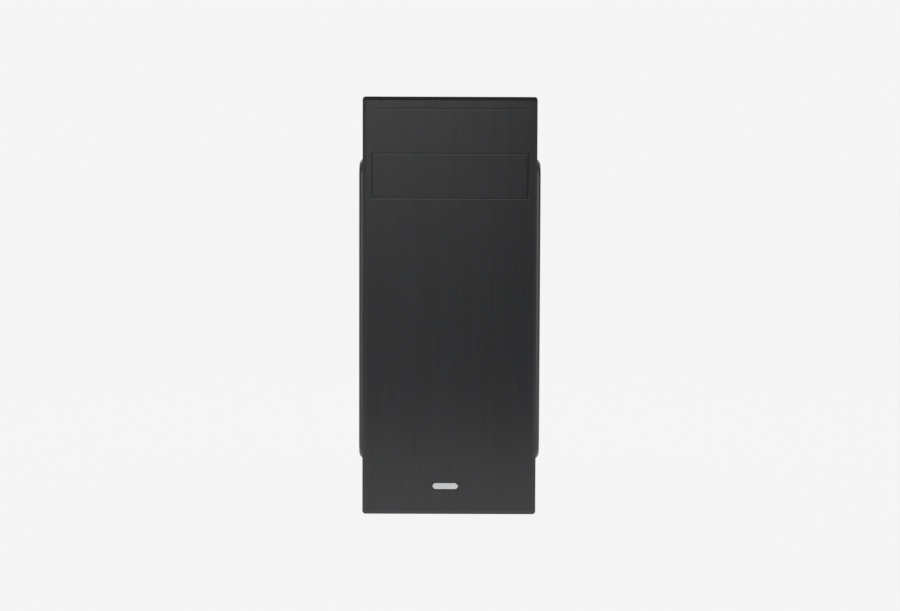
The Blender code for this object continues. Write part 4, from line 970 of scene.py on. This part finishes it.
def make_board_details():
    """The motherboard's sheet and everything soldered or screwed to it, on its -X face."""
    low, high = box_of("motherboard")
    face = high.x - BOARD_THICKNESS
    cpu = middle_of("processor")
    sink_low, sink_high = box_of("cpu_heatsink")

    def on_board(bm, y, z, height, rounding=0.2):
        add_block(bm, (face, y[0], z[0]), (face - height, y[1], z[1]), rounding)

    sleeves, tops = bmesh.new(), bmesh.new()
    column = [(sink_low.y - 8, z) for z in range(200, 280, 11)]
    row = [(y, sink_high.z + 20) for y in range(64, 142, 12)]
    small = [(8.0 + 12 * k, 142.0) for k in range(4)] + [(148.0, z) for z in (198, 212, 224)]
    for radius, height, places in ((4.0, 11.0, column + row), (3.1, 8.0, small)):
        waist, top = radius - 0.35, face - height
        profile = [(radius, 0.0), (radius, 0.8), (waist, 1.1), (waist, 1.4), (radius, 1.8)]
        profile += [(radius, height - 0.5), (radius - 0.5, height)]
        for centre in places:
            add_turned(sleeves, "X", centre, [(r, face - w) for r, w in profile], 20)
            add_turned(tops, "X", centre, [(radius - 0.6, top), (radius - 0.7, top - 0.12)], 20)
    piece("board_capacitor_sleeves", sleeves, BLUE_DARK, "motherboard", (), 40)
    piece("board_capacitor_tops", tops, FOIL, "motherboard")

    chokes = bmesh.new()
    for y in range(62, 140, 13):
        on_board(chokes, (y, y + 10), (sink_high.z + 4, sink_high.z + 14), 7.0, 0.8)
    piece("board_chokes", chokes, FERRITE, "motherboard")

    chips, pins = bmesh.new(), bmesh.new()
    places = ((-2, 200, 12, 12), (-30, 190, 14, 14), (-34, 240, 9, 12), (120, 160, 14, 14), (96, 176, 7, 10))
    places += ((60, 150, 8, 5), (0, 262, 8, 6), (-24, 130, 10, 6), (40, 84, 7, 7), (54, 288, 5, 6))
    for y, z, width, height in places:
        on_board(chips, (y, y + width), (z, z + height), 1.5, 0.25)
        for k in range(int(height / LEAD_PITCH) - 1):
            lead = z + 1.0 + LEAD_PITCH * k
            on_board(pins, (y - 1.1, y), (lead, lead + 0.5), 0.5, 0.0)
            on_board(pins, (y + width, y + width + 1.1), (lead, lead + 0.5), 0.5, 0.0)
    piece("board_chips", chips, BLACK, "motherboard")
    piece("board_chip_pins", pins, NICKEL, "motherboard")

    tiny, ends = bmesh.new(), bmesh.new()
    for k in range(90):
        y, z = low.y + 8 + (k * 47 % 190), 66 + (k * 83 % 118)
        on_board(tiny, (y, y + 1.6), (z, z + 0.9), 0.6, 0.0)
        on_board(ends, (y - 0.3, y), (z, z + 0.9), 0.62, 0.0)
        on_board(ends, (y + 1.6, y + 1.9), (z, z + 0.9), 0.62, 0.0)
    piece("board_resistors", tiny, FERRITE, "motherboard")
    piece("board_resistor_ends", ends, NICKEL, "motherboard")

    cell, holder = bmesh.new(), bmesh.new()
    place = (36.0, 132.0)
    for bm, profile in (
        (holder, ((11.2, 0.0), (11.2, 3.0), (10.6, 3.4))),
        (cell, ((10.0, 3.0), (10.0, 4.9), (9.5, 5.3), (8.4, 5.3), (8.2, 5.15))),
    ):
        add_turned(bm, "X", place, [(r, face - w) for r, w in profile], 40)
    piece("board_cell_holder", holder, BLACK, "motherboard")
    piece("board_cell", cell, NICKEL, "motherboard")

    headers, posts = bmesh.new(), bmesh.new()
    rows = ((-20, 64, 5, 2), (4, 64, 5, 2), (-38, 64, 5, 2))
    rows += ((150, 142, 4, 1), (52, 182, 4, 1), (60, 64, 5, 2))
    for y, z, count, lines in rows:
        across, up = (y - 1.3, y + PIN_PITCH * count - 1.2), (z - 1.3, z + PIN_PITCH * lines - 1.2)
        on_board(headers, across, up, 2.5)
        for k in range(count * lines):
            u, v = y + PIN_PITCH * (k // lines), z + PIN_PITCH * (k % lines)
            on_board(posts, (u - 0.32, u + 0.32), (v - 0.32, v + 0.32), 8.6, 0.0)
    piece("board_headers", headers, BLACK, "motherboard")
    piece("board_header_posts", posts, GOLD, "motherboard")

    slot_z = [middle_of("card_slot").z - CARD_PITCH * k for k in range(4)]
    slots = (("short_card_slot", 126.0, BLACK), ("old_card_slot_upper", 66.0, IVORY))
    slots += (("old_card_slot_lower", 66.0, IVORY),)
    for z, (name, front, material) in zip(slot_z[1:], slots):
        body = blocks(((face, front, z - 3.6), (face - 11.0, 151.0, z + 3.6)), rounding=0.3)
        slot = mesh_object(name, body)
        combine(slot, blocks(((face - 12, front + 2, z - 0.9), (face - 3, 149.0, z + 0.9))))
        finish_piece(slot, material, "motherboard")
    contacts = bmesh.new()
    for z in slot_z:
        for y in range(128, 148, 2):
            for side in (-1, 1):
                add_block(contacts, (face - 8, y, z + side * 0.9), (face - 3, y + 0.9, z + side * 0.7))
    piece("card_slot_contacts", contacts, GOLD, "motherboard")

    places = [(y, z, face) for y in (-36.0, 60.0, 158.0) for z in (70.0, 172.0, 296.0)]
    places.remove((158.0, 172.0, face))  # none in the middle of the rear edge
    make_screws("board_screws", "X", places, 3.0, -2.0, "motherboard")

    mouth = face - 9.3
    body = blocks(((mouth, -36.0, 78.0), (face, -27.0, 108.0)), rounding=0.3)
    ports = mesh_object("board_drive_ports", body)
    combine(ports, blocks(*(((mouth - 1, -34.4, z), (mouth + 6, -28.6, z + 13.0)) for z in PORT_Z)))
    finish_piece(ports, RED, "motherboard")
    tongues = [((mouth + 0.5, -32.2, z + 2.0), (mouth + 6, -30.9, z + 11.0)) for z in PORT_Z]
    piece("board_drive_port_tongues", blocks(*tongues, rounding=0.1), BLACK, "motherboard")
    sheet = blocks(((face, low.y, low.z), high), rounding=0.1)
    piece("board_sheet", sheet, GREEN, "motherboard", ["motherboard"])
    clips = bmesh.new()
    for side in (-1, 1):
        z = cpu.z + side * 45.0
        add_block(clips, (face - 3.0, cpu.y - 5, z - 3), (face, cpu.y + 5, z + 3), 0.6)
        add_block(clips, (face - 14.0, cpu.y - 3, z - 1.5), (face - 3.0, cpu.y + 3, z + 1.5), 0.5)
    piece("cooler_clips", clips, BLACK, "motherboard")


def make_memory_details():
    """The module's notched sheet, its chips on both faces and its gold fingers."""
    low, high = box_of("memory_module")
    y = (low.y + high.y) / 2
    middle = low.z + (high.z - low.z) * 0.54
    notch = blocks(((high.x - 3.0, y - 2, middle), (high.x + 1, y + 2, middle + 1.6)))
    for z in (low.z, high.z):
        for x in (high.x - 9.5, high.x - 20):
            add_turned(notch, "Y", (x, z), [(1.6, y - 2), (1.6, y + 2)], 16)
    board = mesh_object("memory_board", blocks(((low.x, y - 0.65, low.z), (high.x, y + 0.65, high.z))))
    combine(board, notch)
    finish_piece(board, GREEN, "memory_module", ["memory_module"])
    chips, fingers, tiny = bmesh.new(), bmesh.new(), bmesh.new()
    for z in range(162, 284, 16):
        for side in (-1, 1):
            add_block(chips, (low.x + 8, y + side * 0.65, z), (low.x + 18, y + side * 1.7, z + 11), 0.15)
            for k in range(3):
                at = z + 2 + 3.4 * k
                add_block(tiny, (low.x + 20, y + side * 0.65, at), (low.x + 21, y + side * 1.1, at + 1.6))
    for k in range(88):
        z = low.z + 4 + k * 1.42
        if not middle - 1.2 < z < middle + 1.8:
            add_block(fingers, (high.x - 3.2, y - 0.7, z), (high.x - 0.2, y + 0.7, z + 0.9))
    piece("memory_chips", chips, BLACK, "memory_module")
    piece("memory_fingers", fingers, GOLD, "memory_module")
    piece("memory_resistors", tiny, FERRITE, "memory_module")


# ---- rear connectors ----


def make_rear_ports():
    """What shows inside and round the rear connectors."""
    for node in ("usb_stack", "network_stack"):
        low, high = box_of(node)
        z = (low.z + high.z) / 2
        places = [z - 3.5 + 7.0 / 3 * j for j in range(4)]
        for k, x in enumerate((high.x - 4.4, high.x - 12.2), start=1):
            insert = blocks(((x + 0.25, 160.0, z - 5.2), (x + 1.9, 169.6, z + 5.2)), rounding=0.15)
            contacts = blocks(*(((x + 0.05, 160.5, at - 0.5), (x + 0.3, 169.0, at + 0.5)) for at in places))
            piece(f"{node}_tongue_{k}", insert, BLACK, node)
            piece(f"{node}_contacts_{k}", contacts, GOLD, node)
    low, high = box_of("network_stack")
    x, z = low.x, (low.z + high.z) / 2
    wires = [((x + 9.0, 158.0, z - 3.8 + 1.03 * k), (x + 9.5, 169.0, z - 3.4 + 1.03 * k)) for k in range(8)]
    piece("network_contacts", blocks(*wires), GOLD, "network_stack")
    front, back = high.y - 0.2, high.y + 0.15
    lights = [((x + 4.0, front, at - 0.8), (x + 7.0, back, at + 0.8)) for at in (z - 7.0, z + 7.0)]
    piece("network_lights", blocks(*lights, rounding=0.1), LENS, "network_stack")

    low, high = box_of("audio_stack")
    z, face = (low.z + high.z) / 2, high.y
    for k, material in enumerate((PINK_PLASTIC, GREEN_PLASTIC, BLUE)):
        ring = bmesh.new()
        offsets = ((1.85, -4.0), (1.85, 0.2), (2.1, 0.4), (3.4, 0.4), (3.7, 0.1), (3.7, -0.4))
        profile = [(r, face + w) for r, w in offsets]
        add_turned(ring, "Y", (low.x + 6.0 + 11.2 * k, z), profile, 32, True)
        piece(f"audio_jack_ring_{k + 1}", ring, material, "audio_stack", (), 40)

    low, high = box_of("video_ports")
    middle = (low.x + high.x) / 2
    shell, inside, holes = bmesh.new(), bmesh.new(), bmesh.new()
    centre_z = high.z - 16.0

    def scaled(factor):
        """The D-shaped outline of the plug, larger or smaller."""
        corners = ((-4.0, -9.5), (4.0, -7.8), (4.0, 7.8), (-4.0, 9.5))
        return [(middle + u * factor, centre_z + v * factor) for u, v in corners]

    add_slab(shell, "Y", scaled(1.04), 170.3, high.y + 0.1)
    add_slab(inside, "Y", scaled(0.93), 160.0, high.y + 1)
    rim = mesh_object("video_port_rim", shell)
    combine(rim, inside)
    finish_piece(rim, NICKEL, "video_ports")
    face = high.y
    # The pin holes are not cut: flat satin-black discs on the face are painted shade standing for the dark
    # holes.
    for row in (-2.0, 0.0, 2.0):
        for k in range(5):
            at = centre_z - 4.6 + 2.3 * k + (0.5 if row == 0.0 else 0.0)
            add_turned(holes, "Y", (middle + row, at), [(0.45, face), (0.45, face + 0.08)], 10)
    piece("video_port_painted_hole_shades", holes, SATIN_BLACK, "video_ports")
    nuts = bmesh.new()
    for at in (high.z - 29.5, high.z - 2.5):
        add_turned(nuts, "Y", (middle, at), [(2.6, 170.2), (2.6, 174.6), (2.2, 175.0)], 6)
        add_turned(nuts, "Y", (middle, at), [(1.5, 174.9), (1.4, 175.3)], 16)
    piece("video_port_nuts", nuts, NICKEL, "video_ports", (), 20)


def make_rear_screws():
    """Screws of the case fan and of the card blanks, and the rear panel's rivets."""
    plate = box_of("rear_panel")[1].y - 10.0
    low, high = box_of("case_fan_frame")
    corners = [(x, z, plate) for x in (low.x + 4.6, high.x - 4.6) for z in (low.z + 4.6, high.z - 4.6)]
    make_screws("case_fan_screws", "Y", corners, 3.3, 2.0, "rear_panel")
    cover = box_of("slot_cover_plate")[0]
    places = [(175.0, cover.z + 9.2 + CARD_PITCH * k, cover.x) for k in range(4)]
    make_screws("slot_cover_screws", "X", places, 2.8, -2.0, "rear_panel")
    rivets = bmesh.new()
    for x in (-74.0, 74.0):
        for z in (20.0, 110.0, 190.0, 345.0, 392.0):
            add_turned(rivets, "Y", (x, z), [(2.2, plate - 0.1), (2.0, plate + 0.5), (1.2, plate + 0.9)], 16)
    piece("rear_rivets", rivets, STEEL, "rear_panel", (), 50)


# ---- hard drive and cables ----


def make_hard_drive_details():
    """The drive's round lid, screws, circuit, socket and plain label."""
    low, high = box_of("hard_drive")
    top, middle = high.z, (low.x + high.x) / 2
    lid, label = bmesh.new(), bmesh.new()
    profile = [(27.0, top), (26.0, top + 0.35), (8.0, top + 0.35), (7.0, top)]
    add_turned(lid, "Z", (middle, low.y + 52), profile, 56)
    piece("hard_drive_lid_disc", lid, NICKEL, "hard_drive", (), 40)
    rows = [low.y + offset for offset in (7, 64, 121)]
    places = [(x, y, top - 0.2) for x in (low.x + 6, high.x - 6) for y in rows]
    make_screws("hard_drive_screws", "Z", places, 2.6, 1.2, "hard_drive")
    board = (low.x + 6, low.y + 40, low.z - 0.9), (high.x - 6, high.y - 8, low.z - 0.05)
    piece("hard_drive_board", blocks(board, rounding=0.1), GREEN, "hard_drive")
    socket = (low.x + 10, high.y - 4.8, low.z + 0.6), (low.x + 48, high.y - 2.2, low.z + 5.4)
    piece("hard_drive_socket", blocks(socket, rounding=0.2), BLACK, "hard_drive")
    outline = rounded_outline((low.x + 14, high.x - 14), (high.y - 60, high.y - 22), 2.0, 4)
    add_slab(label, "Z", outline, top, top + 0.1)
    piece("hard_drive_plain_label", label, IVORY, "hard_drive")


def make_power_leads():
    """Fourteen leads in one bundle from the supply, spread over the two rows of the plug."""
    supply = box_of("psu_base")[0]
    low, high = box_of("main_power_plug")
    middle_y, middle_z = (low.y + high.y) / 2, (low.z + high.z) / 2
    colours = [JACKET, YELLOW, RED, ORANGE, JACKET, RED, JACKET]
    colours += [ORANGE, JACKET, YELLOW, RED, JACKET, ORANGE, JACKET]
    per_row = len(colours) // 2
    for k, material in enumerate(colours):
        row, place = divmod(k, per_row)
        turn = 2 * math.pi * k / len(colours)
        u, v = 3.1 * math.cos(turn), 3.1 * math.sin(turn)
        end_y = middle_y + (2.4 if row else -2.4)
        end_z = low.z + 5 + (high.z - low.z - 10) * place / (per_row - 1)
        fan = (end_z - middle_z) * 0.55
        route = [
            (u, supply.y + 3.0, supply.z + 13.0 + v),
            (1.0 + u, 22.0 + v * 0.5, supply.z + 8.0 + v),
            (6.0 + u, 15.5 + v, supply.z - 7.0 + u * 0.4),
            (15.0 + u * 0.7, 14.8 + v, 288.0 + u * 0.8),
            (26.0, 15.0 + v * 0.7, 268.0 + fan * 0.6 + u * 0.6),
            (36.0, end_y, middle_z + fan * 1.4),
            (low.x + 1.0, end_y, end_z),
        ]
        replaces = ["main_power_cable"] if k == 0 else ()
        make_wire(f"main_power_lead_{k + 1}", route, 1.9, material, "main_power_cable", replaces)
    tie, cells = bmesh.new(), bmesh.new()
    add_turned(tie, "Z", (12.3, 15.0), [(4.5, 291.0), (4.9, 291.3), (4.9, 293.3), (4.5, 293.6)], 28)
    piece("main_power_tie", tie, SATIN_BLACK, "main_power_cable")
    for k in range(12):
        z = low.z + 1.0 + (high.z - low.z - 2.0) * k / 12
        for y in (low.y + 0.4, middle_y + 0.2):
            add_block(cells, (low.x - 0.15, y, z + 0.2), (low.x + 1.0, y + 4.4, z + 3.9), 0.4)
    piece("main_power_plug_cells", cells, IVORY, "main_power_plug")
    latch = bmesh.new()
    add_block(latch, (low.x + 3, low.y - 2.2, middle_z - 3), (high.x - 3, low.y - 0.9, middle_z + 3), 0.3)
    add_block(latch, (low.x + 9, low.y - 1.2, middle_z - 2), (low.x + 12, low.y + 0.1, middle_z + 2), 0.2)
    piece("main_power_plug_latch", latch, IVORY, "main_power_plug")


def make_signal_leads():
    """The drive's data leads, the twisted front panel leads and the case fan's leads, with their plugs."""
    route = [
        (-30.0, 9.4, 240.0),
        (-28.0, 22.0, 236.0),
        (-12.0, 26.0, 215.0),
        (18.0, 10.0, 180.0),
        (38.0, -18.0, 135.0),
        (44.0, -29.0, 103.0),
        (51.0, -31.5, 93.0),
        (57.0, -31.5, 93.0),
    ]
    for k, (dx, dz) in enumerate(((-1.1, 1.0), (0.0, 0.0), (1.1, -1.0)), start=1):
        shifted = [(x + dx, y, z + dz) for x, y, z in route]
        replaces = ["sata_cable"] if k == 1 else ()
        make_wire(f"drive_data_lead_{k}", shifted, 1.7, RED, "sata_cable", replaces)
    plugs = ((-37.0, 5.6, 236.6), (-23.0, 11.6, 242.6)), ((50.5, -34.0, 86.5), (61.0, -29.0, 100.0))
    piece("drive_data_plugs", blocks(*plugs, rounding=0.6), BLACK, "sata_cable")

    top = box_of("front_io_board")[0].z
    lead_route = [
        (56.0, -160.0, top - 2.0),
        (66.0, -161.0, top - 2.4),
        (75.5, -164.5, top - 8.0),
        (78.9, -167.2, top - 21.0),
        (78.9, -167.4, 340.0),
        (78.9, -167.0, 312.0),
        (78.9, -165.5, 298.0),
        (75.0, -158.0, 284.0),
        (68.5, -148.0, 273.0),
        (67.2, -138.0, 268.0),
        (67.0, -112.0, 240.0),
        (66.5, -78.0, 150.0),
        (62.0, -52.0, 84.0),
        (60.0, -42.0, 70.0),
    ]
    for k, material in enumerate((JACKET, IVORY, BLUE)):
        strand = []
        for j, (x, y, z) in enumerate(lead_route):
            turn = 2 * math.pi * (k / 3 + j / 4)
            strand.append((x + 0.75 * math.cos(turn), y + 0.75 * math.sin(turn), z))
        replaces = ["front_panel_cable"] if k == 0 else ()
        make_wire(f"front_panel_lead_{k + 1}", strand, 1.3, material, "front_panel_cable", replaces)
    plug = blocks(((56.2, -46.0, 63.0), (64.0, -36.0, 70.5)), rounding=0.5)
    piece("front_panel_lead_plug", plug, BLACK, "front_panel_cable")
    for k, material in enumerate((JACKET, RED, YELLOW)):
        shift = 1.3 * k
        route = [(12.0, 148.0, 205.0 + shift), (18.0, 144.0, 196.0 + shift), (40.0, 147.0, 172.0 + shift)]
        route += [(58.0, 150.0 + shift, 152.0), (60.0, 151.5 + shift * 1.8, 144.0)]
        make_wire(f"case_fan_lead_{k + 1}", route, 1.2, material, "case_fan_frame")


# ---- stage ----

PALE = 0.913  # linear brightness of the background
FLOOR_GLOW, FLOOR_REACH = 0.899, 40.0
FRONT_Y = -0.18  # the front face, in metres
EYE_DISTANCE, EYE_X, EYE_Z, AIM_Z, EYE_ROLL = 2.0, 0.0005, 0.335, 0.2040, 0.2
LENS_MM, SENSOR_MM = 83.6, 36.0


def make_floor():
    """A plain pale ground that glows a little, so that no horizon or shadow shows."""
    corners = [(u * FLOOR_REACH, v * FLOOR_REACH, 0) for u, v in ((-1, -1), (1, -1), (1, 1), (-1, 1))]
    mesh = bpy.data.meshes.new("floor")
    mesh.from_pydata(corners, [], [(0, 1, 2, 3)])
    link("floor", mesh)
    ground = Paint("pale_floor", (0.02, 0.02, 0.02), 0.9, **{"Specular IOR Level": 0.0})
    ground.set(ground.shader, {"Emission Color": (1.0, 1.0, 1.0, 1.0), "Emission Strength": FLOOR_GLOW})
    mesh.materials.append(ground.material)


def make_world():
    """White to the camera, dimmer as a source of light, so that the dark faces keep their shading."""
    world = bpy.data.worlds.new("studio")
    bpy.context.scene.world = world
    world.use_nodes = True
    nodes, links = world.node_tree.nodes, world.node_tree.links
    seen = nodes["Background"]
    seen.inputs["Color"].default_value = (1.0, 1.0, 1.0, 1.0)
    seen.inputs["Strength"].default_value = PALE
    lit = nodes.new("ShaderNodeBackground")
    lit.inputs["Color"].default_value = (0.96, 0.98, 1.0, 1.0)
    lit.inputs["Strength"].default_value = 0.28
    path = nodes.new("ShaderNodeLightPath")
    mix = nodes.new("ShaderNodeMixShader")
    links.new(path.outputs["Is Camera Ray"], mix.inputs[0])
    links.new(lit.outputs[0], mix.inputs[1])
    links.new(seen.outputs[0], mix.inputs[2])
    links.new(mix.outputs[0], nodes["World Output"].inputs["Surface"])


def aim(obj, target):
    direction = Vector(target) - obj.location
    obj.rotation_euler = direction.to_track_quat("-Z", "Y").to_euler()


def softbox(name, place, target, size, radiance):
    """A rectangular area light, in metres; its power follows from its size and brightness."""
    light = bpy.data.lights.new(name, "AREA")
    light.shape = "RECTANGLE"
    light.size, light.size_y = size
    light.energy = radiance * math.pi * size[0] * size[1]
    lamp = link(name, light)
    lamp.location = place
    lamp.visible_camera = False
    aim(lamp, target)


def dark_card(name, low, high):
    """A thin dark card, in millimetres, that the gloss reflects and the camera doesn't see."""
    card = mesh_object(name, blocks((low, high)))
    card.data.materials.append(Paint("dark_card", (0.01, 0.01, 0.01), 0.9).material)
    card.visible_camera = False
    card.visible_shadow = False
    card.visible_diffuse = False


def make_lights():
    """Light from above, from the front and from both sides; the cards keep the chamfers and edges dark."""
    middle = (0.0, 0.0, 0.22)
    softbox("overhead", (0.0, 0.5, 1.9), (0.0, 0.2, 0.3), (1.6, 1.3), 2.6)
    softbox("front_high", (-0.35, -2.7, 1.15), (0.0, -0.18, 0.40), (1.2, 0.8), 2.2)
    softbox("front_left", (-1.2, -2.5, 0.9), middle, (0.8, 0.9), 1.7)
    softbox("front_right", (1.5, -2.4, 0.8), middle, (0.7, 0.8), 0.7)
    softbox("side_left", (-2.2, -0.5, 0.45), middle, (1.2, 0.9), 2.2)
    softbox("side_right", (2.2, -0.5, 0.45), middle, (1.2, 0.9), 2.6)
    softbox("back_left", (-1.4, 2.3, 1.1), middle, (1.0, 1.0), 1.4)
    softbox("back_right", (1.4, 2.3, 1.1), middle, (1.0, 1.0), 1.4)
    dark_card("front_mat", (-1200.0, -2900.0, 2.0), (1200.0, -640.0, 3.0))
    dark_card("front_right_card", (90.0, -860.0, 5.0), (640.0, -855.0, 700.0))
    dark_card("front_upper_card", (-1400.0, -1300.0, 1000.0), (1400.0, -1295.0, 1950.0))
    for word, side in (("left", -1), ("right", 1)):
        near, far = sorted((side * 760.0, side * 1350.0))
        dark_card(f"chamfer_card_{word}", (near, -960.0, 5.0), (far, -955.0, 700.0))
        near, far = sorted((side * 110.0, side * 1500.0))
        dark_card(f"back_card_{word}", (near, 1200.0, 5.0), (far, 1205.0, 600.0))
        near, far = sorted((side * 1500.0, side * 1505.0))
        dark_card(f"far_side_card_{word}", (near, 250.0, 5.0), (far, 1200.0, 600.0))


def make_camera():
    """Straight in front, a little above the tower's middle, looking slightly down."""
    camera = link("camera", bpy.data.cameras.new("camera"))
    bpy.context.scene.camera = camera
    camera.location = (EYE_X, FRONT_Y - EYE_DISTANCE, EYE_Z)
    aim(camera, (EYE_X, FRONT_Y, AIM_Z))
    camera.rotation_euler.rotate_axis("Z", math.radians(EYE_ROLL))
    camera.data.sensor_width = SENSOR_MM
    camera.data.lens = LENS_MM
    camera.data.clip_start, camera.data.clip_end = 0.05, 200.0


def main():
    bpy.context.scene.view_settings.view_transform = "Standard"
    make_camera()
    dress_packed_nodes()
    make_bezel()
    make_dust_filters()
    make_bay_cover()
    make_badge()
    make_side_panel("left", -1)
    make_side_panel("right", 1)
    make_feet()
    make_thumbscrews()
    make_front_controls()
    make_fan("case_fan", "Y")
    make_fan("psu_fan", "Y")
    make_fan("cpu_fan", "X")
    make_power_supply_details()
    make_board_details()
    make_memory_details()
    make_rear_ports()
    make_rear_screws()
    make_hard_drive_details()
    make_power_leads()
    make_signal_leads()
    make_floor()
    make_world()
    make_lights()


main()
